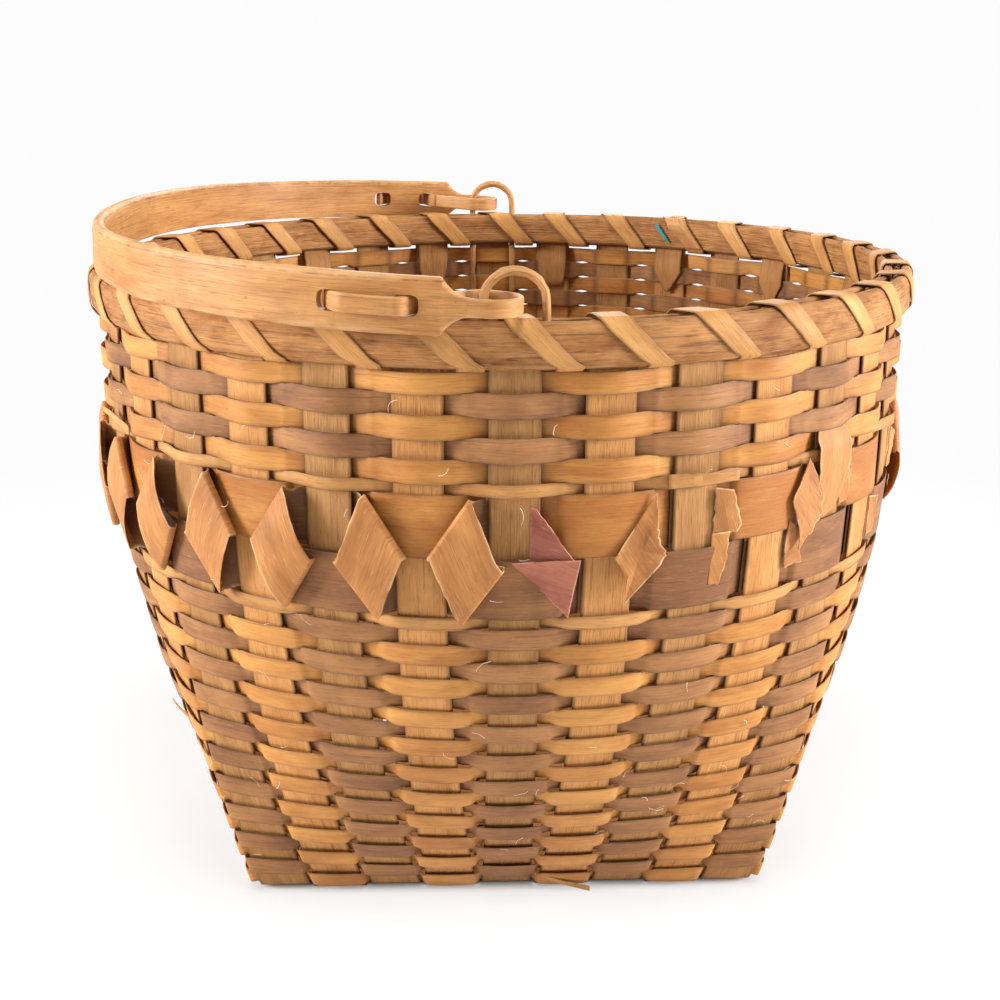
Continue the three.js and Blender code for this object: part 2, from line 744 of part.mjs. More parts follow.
for (let i = 0; i < frontStakes; i += 1) {
  const partner = 2 * frontStakes + sideStakes - 1 - i;
  place("stake_front_to_back_" + (i + 1), stakeStrip(i, partner, null), stakeWood);
}
for (let i = 0; i < sideStakes; i += 1) {
  const start = frontStakes + i;
  const strip = stakeStrip(start, stakeCount - 1 - i, basePlait(i));
  place("stake_side_to_side_" + (i + 1), strip, stakeWood);
}
rows.forEach((row) => place(row.name, weaverRing(row), row.wood));
place("curl_strip", curlStrip(), curlSplint);
place("rim_hoop_outer", outerHoop(), hoopWood);
place("rim_hoop_inner", innerHoop(), hoopWood);
place("rim_lashing", lashing(), lashingSplint);
const frontMiddle = (frontStakes - 1) / 2;
place("ear_front", ear(frontMiddle), witheWood);
place("ear_back", ear(frontMiddle + stakeCount / 2), witheWood);

const swing = new THREE.Group();
swing.position.z = bailAxis;
swing.rotation.y = bailTilt;
basket.add(swing);
place("bail", bail(), bailWood, swing);

export default basket;
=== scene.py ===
"""Splint basket with a swinging bail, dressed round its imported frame.

Lengths are millimetres until a mesh is made, and +Z is up with the basket's front towards -Y.
A strip is a list of stations: a point on its low edge, one on its high edge and a normal.
Stakes are counted from the left of the front, anticlockwise as seen from above.
"""

import math
from functools import lru_cache

import bpy
import numpy as np
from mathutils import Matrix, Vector


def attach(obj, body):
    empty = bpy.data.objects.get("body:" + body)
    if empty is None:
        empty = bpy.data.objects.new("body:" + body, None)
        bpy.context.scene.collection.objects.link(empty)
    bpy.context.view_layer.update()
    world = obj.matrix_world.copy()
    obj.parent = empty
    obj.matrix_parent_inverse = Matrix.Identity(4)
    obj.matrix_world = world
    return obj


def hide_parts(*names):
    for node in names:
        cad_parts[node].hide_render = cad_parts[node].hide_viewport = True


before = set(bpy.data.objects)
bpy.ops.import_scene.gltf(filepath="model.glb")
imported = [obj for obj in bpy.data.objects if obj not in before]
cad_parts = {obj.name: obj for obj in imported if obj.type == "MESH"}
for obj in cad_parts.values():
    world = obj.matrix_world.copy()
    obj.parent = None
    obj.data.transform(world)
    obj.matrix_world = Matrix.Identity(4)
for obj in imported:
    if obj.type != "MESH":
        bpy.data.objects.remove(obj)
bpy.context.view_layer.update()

MM = 0.001
UP = np.array([0.0, 0.0, 1.0])

# The wall, as the frame has it
RIM_RADIUS = 187.0
RIM_TOP = 290.0
SHOULDER = 209.0
FLARE_POWER = 1.85
FRONT_STAKES = 9
SIDE_STAKES = 7
STAKES = 32
PITCH = 2 * math.pi / STAKES
BASE_PITCH = 26.4
BASE_WIDTH = 23.6
RIM_WIDTH = 20.2
STAKE_THICK = 1.0
HEEL = 2.6
HALF_LONG = 120.0
HALF_DEEP = 93.6
WALL_START = 4.2
STAKE_TOP = 288.4
LAYER_GAP = 0.4
BASE_LOW, BASE_MIDDLE, BASE_HIGH = 0.5, 1.9, 3.3

# Rows of weaving
LOWER_ROWS = 20
LOWER_PITCH = 8.1
THIN_PITCH = 4.8
WIDE_PITCH = 25.7
UPPER_ROWS = 5
UPPER_PITCH = 8.7
ROW_GAP = 0.3
ROW_FACE = 1.45 + 0.45
FLOOR_CLEAR = 1.2
ROW_TOP = 270.2


# Numbers and directions

def drift(n, every, amount, seed, closed=False):
    """n values that wander between -amount and amount, with a new value every so many steps."""
    knots = max(int(round(n / every)), 2)
    values = np.random.default_rng(seed).uniform(-amount, amount, knots)
    at = np.arange(n) / n * knots
    low = np.floor(at).astype(int)
    part = at - low
    part = part * part * (3 - 2 * part)
    high = (low + 1) % knots if closed else np.minimum(low + 1, knots - 1)
    return values[low % knots] * (1 - part) + values[high] * part


def between(a, b, share):
    return a + (b - a) * share


def unit(v):
    return v / max(np.linalg.norm(v), 1e-12)


def rim_axes(angle):
    """The outward and the sideways direction at an angle round the rim."""
    s, c = math.sin(angle), math.cos(angle)
    return np.array([s, -c, 0.0]), np.array([c, s, 0.0])


# The wall's surface

def flare(height):
    part = min(max((height - WALL_START) / (SHOULDER - WALL_START), 0), 1)
    return 1 - (1 - part) ** FLARE_POWER


def foot(j):
    """Where stake j leaves the base, and its width direction there."""
    j %= STAKES
    if j < FRONT_STAKES:
        along = (j - (FRONT_STAKES - 1) / 2) * BASE_PITCH
        return np.array([along, -HALF_DEEP, 0.0]), np.array([1.0, 0.0, 0.0])
    if j < FRONT_STAKES + SIDE_STAKES:
        along = (j - FRONT_STAKES - (SIDE_STAKES - 1) / 2) * BASE_PITCH
        return np.array([HALF_LONG, along, 0.0]), np.array([0.0, 1.0, 0.0])
    point, way = foot(j - FRONT_STAKES - SIDE_STAKES)
    return -point, -way


def stake_angle(j):
    return (j - (FRONT_STAKES - 1) / 2) * PITCH


@lru_cache(maxsize=None)
def cached_stake(j, height):
    point, way = foot(j)
    radial, rim_way = rim_axes(stake_angle(j))
    share = flare(height)
    middle = point * (1 - share) + RIM_RADIUS * radial * share + UP * height
    half = (BASE_WIDTH + (RIM_WIDTH - BASE_WIDTH) * share) / 2
    return middle, unit(way * (1 - share) + rim_way * share), half


def stake_at(j, height):
    """Middle, width direction and half width of stake j at a height."""
    return cached_stake(j % STAKES, round(height, 3))


def wall(t, height):
    """A point of the wall's middle surface: t counts stakes, so j is the middle of stake j."""
    j = math.floor(t + 0.5)
    u = t - j
    side = 1 if u >= 0 else -1
    middle, way, half = stake_at(j, height)
    other, other_way, other_half = stake_at(j + side, height)
    edge = middle + side * half * way
    far = other - side * other_half * other_way
    gap = np.linalg.norm(far - edge)
    half_share = half / (2 * half + gap)
    if abs(u) <= half_share:
        return middle + way * (u / half_share * half)
    g = (abs(u) - half_share) / (1 - 2 * half_share)
    a, b = g * g * (3 - 2 * g), g * (1 - g) ** 2
    c = g * g * (g - 1)
    return edge * (1 - a) + far * a + side * gap * (way * b + other_way * c)


def half_share_at(j, height):
    """Half a stake's width as a share of the spacing there."""
    return stake_at(j, height)[2] / np.linalg.norm(wall(j + 0.5, height) - wall(j - 0.5, height))


def outward(t, low, high):
    rise = wall(t, high) - wall(t, low)
    across = wall(t + 0.04, (low + high) / 2) - wall(t - 0.04, (low + high) / 2)
    return unit(np.cross(across, rise))


# Meshes

# Corners of a splint's section: how far in from the edge, which edge (0 is the middle), and the
# share of half the thickness
INSET, SIDE, DEPTH = np.array([
    (0, -1, 0.1), (0.3, -1, 0.9), (1.5, -1, 1.1), (0, 0, 1.15), (1.5, 1, 1.1), (0.3, 1, 0.9),
    (0, 1, 0.1), (0.3, 1, -0.9), (1.5, 1, -1), (0, 0, -1), (1.5, -1, -1), (0.3, -1, -0.9)]).T
AT_EDGE = ((INSET < 1) & (SIDE != 0)).astype(float)


class Build:
    """Collects strips and tubes into one mesh."""

    def __init__(self, seed):
        self.points, self.faces, self.uvs = [], [], []
        self.values = {"tone": [], "worn": [], "dirt_and_painted_shade": []}
        self.rng = np.random.default_rng(seed)

    def add_points(self, points, tone, worn, dirt_and_painted_shade=0.0):
        """Adds points with their values, and gives the number of the first."""
        first = len(self.points)
        self.points += np.reshape(points, (-1, 3)).tolist()
        for label, value in (("tone", tone), ("worn", worn), ("dirt_and_painted_shade", dirt_and_painted_shade)):
            self.values[label] += np.broadcast_to(value, np.shape(points)[:-1]).ravel().tolist()
        return first

    def sections(self, loops, across, worn, closed=False, tone=0.5, start=0.0, dirt_and_painted_shade=0.0, slip=0.0):
        """loops is section x corner x 3, and across is each corner's place across the grain."""
        loops = np.asarray(loops, float)
        n, m = loops.shape[:2]
        base = self.add_points(loops, np.reshape(tone, (-1, 1)), worn, dirt_and_painted_shade)
        middle = loops.mean(axis=1)
        steps = np.linalg.norm(np.roll(middle, -1, axis=0) - middle, axis=1)
        along = start + np.concatenate([[0], np.cumsum(steps)])
        across = np.broadcast_to(np.asarray(across, float), (n, m)) + slip
        for i in range(n if closed else n - 1):
            k = (i + 1) % n
            for c in range(m):
                d = (c + 1) % m
                self.faces.append([base + i * m + c, base + i * m + d,
                                   base + k * m + d, base + k * m + c])
                self.uvs.append([(along[i], across[i][c]), (along[i], across[i][d]),
                                 (along[i + 1], across[k][d]), (along[i + 1], across[k][c])])
        if not closed:
            for i, order in ((0, range(m - 1, -1, -1)), (n - 1, range(m))):
                self.faces.append([base + i * m + c for c in order])
                self.uvs.append([(along[i], across[i][c]) for c in order])

    def strip(self, low, high, normal, thick, tone=None, closed=False, dirt_and_painted_shade=0.0, worn=0.5,
              bites=(0, 0), painted_edge_shade=0.0):
        """A splint between two edge lines, of a chance tone if none is given.

        bites is how far each edge is torn in, so that the grain runs on straight beside it.
        The last argument is how dark the edges are painted, a painted shade for the shadow lines where
        strips lie on one another; the argument after closed is painted shade along the strip.
        """
        low, high, normal = (np.asarray(v, float)[:, None] for v in (low, high, normal))
        width = np.linalg.norm(high - low, axis=2)
        share = SIDE * np.maximum(1 - 2 * INSET / np.maximum(width, 0.1), 0.15)
        loops = (low * (1 - share[..., None]) + high * (1 + share[..., None])) / 2
        loops = loops + normal * DEPTH[:, None] * thick / 2
        low_bite, high_bite = (np.reshape(bite, (-1, 1)) for bite in bites)
        across = width / 2 * share + (low_bite - high_bite) / 2
        dirt_and_painted_shade = np.maximum(np.reshape(dirt_and_painted_shade, (-1, 1)), painted_edge_shade * AT_EDGE)
        start, slip = self.rng.uniform(0, 4000), self.rng.uniform(0, 900)
        tone = self.rng.uniform() if tone is None else tone
        self.sections(loops, across, worn * AT_EDGE, closed, tone, start, dirt_and_painted_shade, slip)

    def object(self, name, finish):
        mesh = bpy.data.meshes.new(name)
        mesh.from_pydata((np.asarray(self.points) * MM).tolist(), [], self.faces)
        flat = np.array([xy for face in self.uvs for xy in face], np.float32)
        mesh.uv_layers.new(name="grain").data.foreach_set("uv", flat.ravel() * MM)
        for label, values in self.values.items():
            attribute = mesh.attributes.new(label, "FLOAT", "POINT")
            attribute.data.foreach_set("value", np.array(values, np.float32))
        mesh.polygons.foreach_set("use_smooth", np.ones(len(self.faces), bool))
        mesh.materials.append(MATERIALS[finish])
        mesh.validate()
        made = bpy.data.objects.new(name, mesh)
        bpy.context.scene.collection.objects.link(made)
        made.modifiers.new("weighted", "WEIGHTED_NORMAL").keep_sharp = True
        return made

    def piece(self, name, finish, *nodes, slot=None, body="basket"):
        dress(self.object(name, finish), slot or finish, *nodes, body=body)


def smooth_line(points, per_span, closed=False):
    """Catmull-Rom through rows of numbers."""
    p = np.asarray(points, float)
    n = len(p)
    out = []
    for i in range(n if closed else n - 1):
        at = np.arange(i - 1, i + 3)
        a, b, c, d = p[at % n if closed else at.clip(0, n - 1)]
        for x in np.arange(per_span) / per_span:
            out.append(0.5 * (2 * b + (c - a) * x + (2 * a - 5 * b + 4 * c - d) * x * x
                              + (3 * b - a - 3 * c + d) * x ** 3))
    if not closed:
        out.append(p[-1])
    return np.array(out)


def ribbon(build, rows, thick, per_span, ragged, seed, closed=False, worn=0.5, painted_edge_shade=0.0):
    """A splint through rows of low edge, high edge and painted shade, with ragged edges."""
    low, high = (smooth_line([row[k] for row in rows], per_span, closed) for k in (0, 1))
    dirt_and_painted_shade = smooth_line([[row[2]] for row in rows], per_span, closed)[:, 0].clip(0, 1)
    across = high - low
    length = np.linalg.norm(across, axis=1)[:, None]
    bites = []
    for edge, sign, k in ((low, 1, 0), (high, -1, 1)):
        bite = np.abs(drift(len(low), 3.5, ragged, seed + k))
        bite += np.abs(drift(len(low), 1.3, ragged * 0.3, seed + 40 + k))
        edge += sign * across / length * bite[:, None]
        bites.append(bite)
    middle = (low + high) / 2
    if closed:
        way = np.roll(middle, -1, axis=0) - np.roll(middle, 1, axis=0)
    else:
        way = np.gradient(middle, axis=0)
    normal = np.cross(way, high - low)
    normal /= np.maximum(np.linalg.norm(normal, axis=1), 1e-9)[:, None]
    build.strip(low, high, normal, thick, None, closed, dirt_and_painted_shade, worn, bites, painted_edge_shade)


def tube(build, line, radii, sides, seed, tone, knobbly, facing):
    """A withe along a line. radii are its half widths square to facing, and along it."""
    line = np.asarray(line, float)
    way = np.gradient(line, axis=0)
    way /= np.linalg.norm(way, axis=1)[:, None]
    rough = [drift(len(line), 3, knobbly, seed + s) for s in range(sides)]
    loops = []
    for i, point in enumerate(line):
        deep = unit(facing - way[i] * facing.dot(way[i]))
        wide = np.cross(deep, way[i])
        loops.append([])
        for s in range(sides):
            angle = 2 * math.pi * s / sides
            reach = wide * math.cos(angle) * radii[i][0] + deep * math.sin(angle) * radii[i][1]
            loops[-1].append(point + reach * (1 + rough[s][i]))
    girth = 2 * math.pi * np.mean(radii)
    across = [girth * abs(s / sides - 0.5) for s in range(sides)]
    build.sections(loops, across, 0.3, tone=tone, start=seed * 31.0)


# Materials

def colour(red, green, blue):
    """A colour as seen, 0 to 255, as the shader takes it."""
    def linear(c):
        c /= 255
        return c / 12.92 if c <= 0.04045 else ((c + 0.055) / 1.055) ** 2.4
    return (linear(red), linear(green), linear(blue), 1.0)


class Nodes:
    """Adds nodes to the tree of a new material or world."""

    def __init__(self, owner):
        owner.use_nodes = True
        self.owner = owner
        self.tree = owner.node_tree
        self.tree.nodes.clear()

    def add(self, kind, inputs=None, **settings):
        node = self.tree.nodes.new("ShaderNode" + kind)
        for key, value in settings.items():
            setattr(node, key, value)
        for key, value in (inputs or {}).items():
            if isinstance(value, bpy.types.NodeSocket):
                self.tree.links.new(value, node.inputs[key])
            else:
                node.inputs[key].default_value = value
        return node

    def math(self, operation, a, b=0.0):
        return self.add("Math", {0: a, 1: b}, operation=operation).outputs[0]

    def weighted(self, first, *others):
        """The sum of sockets times their weights."""
        total = self.math("MULTIPLY", *first)
        for part in others:
            total = self.math("ADD", total, self.math("MULTIPLY", *part))
        return total

    def mix(self, share, a, b):
        return self.add("Mix", {0: share, 6: a, 7: b}, data_type="RGBA").outputs[2]

    def scale(self, value, low, high, to_low, to_high):
        return self.add("MapRange", {0: value, 1: low, 2: high, 3: to_low, 4: to_high}).outputs[0]

    def ramp(self, value, *stops):
        node = self.add("ValToRGB", {0: value})
        elements = node.color_ramp.elements
        for element, (at, level) in zip(elements, (stops[0], stops[-1])):
            element.position = at
            element.color = (level,) * 3 + (1,)
        for at, level in stops[1:-1]:
            elements.new(at).color = (level,) * 3 + (1,)
        return node.outputs[0]

    def noise(self, vector, scale, detail, roughness=0.55, distortion=0.0):
        place = self.add("Mapping", {"Vector": vector, "Scale": scale}).outputs[0]
        return self.add("TexNoise", {"Vector": place, "Scale": 1.0, "Detail": detail,
                                     "Roughness": roughness, "Distortion": distortion}).outputs[0]

    def finish(self, kind, socket):
        self.tree.links.new(socket, self.add(kind).inputs[0])
        return self.owner


MATERIALS = {}


def wood(name, dark, light, stain, lines=0.4, fleck=0.4, coarse=1.0, rough=(0.5, 0.75), bump=0.3,
         wear=(214, 168, 112), vary=0.5, speck=0.3, mottle=0.25, second=None, seam=None):
    """Splint or shaved wood: grain along the strip, uneven old dye, dirt, painted shade from a point
    attribute, and pale worn edges.

    lines are long streaks and fleck short dark pores. second is a dark and light pair for pieces
    whose tone is high. seam is how far from the middle a broken line of bark runs, in metres.
    """
    n = Nodes(bpy.data.materials.new(name))
    grain = n.add("UVMap", uv_map="grain").outputs[0]
    place = n.add("TexCoord").outputs["Object"]
    tone, worn, painted_shade_amount = (n.add("Attribute", attribute_name=label).outputs["Fac"]
                          for label in ("tone", "worn", "dirt_and_painted_shade"))
    fibre = n.noise(grain, (60 / coarse, 2000 / coarse, 1.0), 3.0, 0.6)
    streak = n.noise(grain, (16 / coarse, 620 / coarse, 1.0), 5.0, 0.6)
    pores = n.noise(grain, (130 / coarse, 1500 / coarse, 1.0), 2.0, 0.5)
    cloud = n.noise(grain, (18.0, 80.0, 1.0), 3.0, 0.5)
    patch = n.noise(grain, (62.0, 150.0, 1.0), 4.0, 0.6, 0.4)
    dirt_and_painted_shade = n.noise(place, (34.0,) * 3, 6.0, 0.62)
    speckle = n.noise(place, (420.0,) * 3, 3.0)

    level = n.weighted((cloud, 0.8 - mottle), (streak, 0.2), (patch, mottle),
                       (n.math("SUBTRACT", tone, 0.5), vary * 0.3))
    blend = n.ramp(level, (0.36, 0.0), (0.64, 1.0))
    body = n.mix(blend, colour(*dark), colour(*light))
    if second:
        other = n.mix(blend, colour(*second[0]), colour(*second[1]))
        body = n.mix(n.ramp(tone, (0.42, 0.0), (0.58, 1.0)), body, other)
    for mask, share, tint, shade in (
            (n.ramp(fibre, (0.34, 1.0), (0.46, 0.2), (0.56, 0.0)), lines * 0.7, stain, 1),
            (n.ramp(streak, (0.3, 1.0), (0.42, 0.0)), lines, stain, 1),
            (n.ramp(pores, (0.31, 1.0), (0.4, 0.0)), fleck, stain, 0.8),
            (n.ramp(pores, (0.62, 0.0), (0.72, 1.0)), fleck * 0.7, wear, 1),
            (n.ramp(dirt_and_painted_shade, (0.5, 0.0), (0.72, 0.85)), 0.4, stain, 1),
            # painted shade: darker where a piece's point attribute marks it as tucked behind or under
            # another
            (painted_shade_amount, 0.72, stain, 0.55),
            (n.ramp(speckle, (0.7, 0.0), (0.78, 1.0)), speck, (70, 45, 30), 1)):
        body = n.mix(n.math("MULTIPLY", mask, share), body, colour(*(c * shade for c in tint)))
    if seam:
        across = n.add("SeparateXYZ", {0: grain}).outputs[1]
        off = n.math("ABSOLUTE", n.math("SUBTRACT", across, seam))
        broken = n.ramp(n.noise(grain, (170.0, 60.0, 1.0), 3.0), (0.42, 0.15), (0.56, 1.0))
        line = n.math("MULTIPLY", n.scale(off, 0.0, 0.0006, 0.9, 0.0), broken)
        body = n.mix(line, body, colour(122, 70, 36))
    chafe = n.math("MULTIPLY", worn, n.ramp(patch, (0.4, 0.0), (0.58, 0.85)))
    body = n.mix(chafe, body, colour(*wear))

    roughness = n.scale(n.weighted((fibre, 0.6), (dirt_and_painted_shade, 0.4)), 0.3, 0.7, *rough)
    relief = n.weighted((fibre, 0.4), (streak, 0.7), (pores, 0.6))
    raised = n.add("Bump", {"Strength": bump, "Distance": 0.0007 * coarse, "Height": relief})
    shader = n.add("BsdfPrincipled", {"Base Color": body, "Roughness": roughness,
                                      "Normal": raised.outputs[0], "Specular IOR Level": 0.32})
    MATERIALS[name] = n.finish("OutputMaterial", shader.outputs[0])


wood("stake_splint", (158, 108, 60), (196, 144, 85), (104, 66, 34), rough=(0.6, 0.85), bump=0.5,
     vary=0.3, wear=(214, 166, 112), second=((184, 122, 62), (216, 154, 90)))
wood("yellow_splint", (168, 104, 44), (212, 150, 76), (130, 76, 32), lines=0.3, fleck=0.3,
     rough=(0.42, 0.65), bump=0.25, vary=0.8)
wood("brown_splint", (130, 84, 50), (176, 122, 72), (84, 50, 30), lines=0.35, fleck=0.35, vary=1.0,
     wear=(208, 160, 116))
wood("tan_splint", (170, 112, 56), (210, 154, 90), (116, 74, 38), lines=0.3, rough=(0.5, 0.72))
wood("curl_splint", (158, 98, 48), (200, 136, 74), (112, 68, 38), lines=0.25, rough=(0.48, 0.7),
     bump=0.25, wear=(236, 200, 150))
wood("hoop_wood", (138, 84, 40), (194, 134, 74), (84, 48, 23), lines=0.75, fleck=0.6, coarse=1.4,
     rough=(0.62, 0.9), bump=1.0, vary=0.2, speck=0.4, wear=(220, 170, 116))
wood("lashing_splint", (170, 112, 54), (212, 156, 90), (116, 72, 36), lines=0.3, fleck=0.45,
     rough=(0.45, 0.68), vary=0.8, wear=(222, 176, 120))
wood("ear_withe", (160, 104, 54), (212, 156, 96), (92, 56, 30), lines=0.7, fleck=0.5, bump=0.6)
wood("bail_wood", (174, 115, 58), (204, 148, 88), (124, 74, 36), lines=0.5, fleck=0.35, coarse=1.4,
     rough=(0.4, 0.62), bump=0.35, vary=0.2, speck=0.7, mottle=0.1, seam=0.0092,
     wear=(232, 190, 138))
wood("dyed_splint", (148, 80, 64), (188, 118, 92), (118, 58, 48), lines=0.35, bump=0.28,
     wear=(216, 156, 126))
wood("fluff", (226, 196, 156), (246, 228, 200), (190, 150, 110), lines=0.2, fleck=0.1,
     rough=(0.6, 0.8), bump=0.1, wear=(250, 236, 214))
wood("teal_scrap", (14, 128, 140), (40, 182, 188), (10, 84, 96), rough=(0.5, 0.7), bump=0.25,
     wear=(90, 200, 200))


def dress(made, slot, *nodes, body="basket"):
    """Hangs a piece on what it rides on and hides the CAD nodes that it stands for; its material slot
    is not used.
    """
    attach(made, body)
    if nodes:
        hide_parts(*nodes)


# Stakes

UPRIGHT_STEPS = 30
FOLD_WIDTH = 17.0
FOLD_INSIDE = -(STAKE_THICK + LAYER_GAP)
FOLD_OVER_ROW = -(ROW_FACE + LAYER_GAP + 0.5 + 0.4)
# Painted shade: the folded ends, down inside the wall under the rim, are coloured darker than the faces
# that see light
FOLDED_STATIONS = 10
FOLDED_PAINTED_SHADE = 0.42
# How far each folded end comes down inside, and the width of its tip
PLAIN_TIP = (41, 6.5)
TIPS = {23: (39, 3), 21: (41, 12), 19: (40, 14), 17: (40.5, 2.5), 15: (40.5, 3), 25: (38, 10)}


def upright(j, turn):
    """Stations of stake j from its top down. turn swaps the two edges."""
    wave = drift(UPRIGHT_STEPS + 1, 5, 0.25, 900 + j)
    nick = [drift(UPRIGHT_STEPS + 1, 2.5, 0.35, 700 + 2 * j + k) for k in (0, 1)]
    stations = []
    for i in range(UPRIGHT_STEPS + 1):
        height = STAKE_TOP + (WALL_START - STAKE_TOP) * i / UPRIGHT_STEPS
        middle, way, half = stake_at(j, height)
        rise = wall(j, min(height + 3, STAKE_TOP)) - wall(j, max(height - 3, WALL_START))
        out = unit(np.cross(way, rise))
        centre = middle + out * wave[i]
        stations.append((centre - turn * way * (half - abs(nick[0][i])),
                         centre + turn * way * (half - abs(nick[1][i])), out))
    return stations


def folded_end(j, turn):
    """The end of stake j, over the inner side and down inside the wall, from its tip up."""
    length, tip = TIPS.get(j, PLAIN_TIP)
    way = stake_at(j, STAKE_TOP)[1]
    out = unit(np.cross(way, wall(j, STAKE_TOP) - wall(j, STAKE_TOP - 6)))
    crown = wall(j, STAKE_TOP) + UP * (STAKE_THICK * 0.5)
    drops = [(length - (length - 26) * s, FOLD_OVER_ROW, between(tip, FOLD_WIDTH, min(1, s * 1.25)))
             for s in (0, 0.25, 0.5, 0.8, 1)]
    drops += [(21, FOLD_OVER_ROW + 0.7, FOLD_WIDTH), (17.2, FOLD_INSIDE - 0.1, FOLD_WIDTH),
              (9, FOLD_INSIDE, FOLD_WIDTH), (0.5, FOLD_INSIDE, FOLD_WIDTH)]
    rows = [(wall(j, STAKE_TOP - drop) + out * inside, wide, -out) for drop, inside, wide in drops]
    rows += [(crown + out * (FOLD_INSIDE * 0.8), FOLD_WIDTH, unit(UP - out)),
             (crown + out * (FOLD_INSIDE * 0.3), FOLD_WIDTH, unit(UP + 0.2 * out))]
    return [(centre - turn * way * wide / 2, centre + turn * way * wide / 2, face)
            for centre, wide, face in rows]


def base_run(j, plait):
    """The strip's way across the base, from the foot of stake j to the one opposite.

    plait is which of the other strips it goes over first, or None where it lies straight.
    """
    (x, y, _), way = foot(j)
    if plait is None:
        points = [(x, (HALF_DEEP - HEEL) * share, BASE_MIDDLE) for share in np.linspace(-1, 1, 9)]
    else:
        points = [((i - (FRONT_STAKES - 1) / 2) * BASE_PITCH + side * (BASE_WIDTH / 2 + LAYER_GAP), y,
                   BASE_LOW if (i + plait) % 2 else BASE_HIGH)
                  for i in reversed(range(FRONT_STAKES)) for side in (1, 0, -1)]
    half = way * BASE_WIDTH / 2
    return [(np.array(point) - half, np.array(point) + half, -UP) for point in points]


def stake(name, start, end, plait=None):
    build = Build(start * 7 + 1)
    stations = upright(start, 1) + base_run(start, plait) + upright(end, -1)[::-1]
    tone, dark = (0, 0.38), np.zeros(len(stations))
    if start % 2:
        stations = folded_end(start, 1) + stations + folded_end(end, -1)[::-1]
        tone, dark = (0.62, 1), np.zeros(len(stations))
        dark[:FOLDED_STATIONS] = dark[-FOLDED_STATIONS:] = FOLDED_PAINTED_SHADE
    tone = np.random.default_rng(start + 11).uniform(*tone)
    # Painted shade on the folded ends, and along both edges for the shadow lines beside the stake
    build.strip(*zip(*stations), STAKE_THICK, tone, dirt_and_painted_shade=dark, worn=0.1, painted_edge_shade=0.75)
    build.piece(name + "_strip", "stake_splint", name)


for i in range(FRONT_STAKES):
    stake("stake_front_to_back_%d" % (i + 1), i, 2 * FRONT_STAKES + SIDE_STAKES - 1 - i)
for i in range(SIDE_STAKES):
    stake("stake_side_to_side_%d" % (i + 1), FRONT_STAKES + i, STAKES - 1 - i, i)


# Rows of weaving

WEAVER_THICK = 0.6
# Where across a stake's pitch each row has its stations
STEPS = [-0.5, -0.465, -0.43, -0.39, -0.34, -0.27, -0.18, -0.09,
         0, 0.09, 0.18, 0.27, 0.34, 0.39, 0.43, 0.465]
# Of each kind of row: how far out it bows over a stake and in behind one, the least that each has
# to be at the stake's edge, how much taller it is over a stake than between two, and its slack
KINDS = {"lower": (2.1, 2.1, 1.5, 1.5, 1.22, 0.5), "thin": (2.2, 2.1, 1.5, 1.5, 1.3, 0.25),
         "wide": (2.15, 3.1, 1.5, 2.55, 1.0, 0.3), "bowed": (3.5, 2.1, 1.5, 1.5, 1.16, 0.45)}
# Upper rows are narrower between the stakes at the back, where light shows through
BACK_STAKES = range(12, 30)
LIGHT_GAP = 0.9
# The wide rows have kept more of their dye
WIDE_TONE = -0.4


def wall_rows():
    """Each row's name, lower and upper height, kind and finish, from the base up."""
    plan = [("weaver_lower_%02d" % (i + 1), LOWER_PITCH, "lower", None) for i in range(LOWER_ROWS)]
    plan += [("weaver_below_bands", THIN_PITCH, "thin", "tan_splint"),
             ("band_brown", WIDE_PITCH, "wide", "brown_splint"),
             ("band_yellow", WIDE_PITCH, "wide", "yellow_splint"),
             ("weaver_above_bands", THIN_PITCH, "bowed", "tan_splint")]
    plan += [("weaver_upper_%d" % (i + 1), UPPER_PITCH, "bowed", None) for i in range(UPPER_ROWS)]
    rows, low = [], WALL_START
    for r, (name, pitch, kind, finish) in enumerate(plan):
        finish = finish or ("brown_splint" if r % 2 else "yellow_splint")
        rows.append((name, low, low + pitch, kind, finish))
        low += pitch
    return rows


def weave_depth(u, share, most, least):
    """How far out a row stands: most at a stake's middle, at least least at its edge."""
    at_edge = math.cos(math.pi * min(share + 0.012, 0.47))
    power = math.log(least / most) / math.log(at_edge)
    return most * abs(math.cos(math.pi * u)) ** max(power, 0.02)


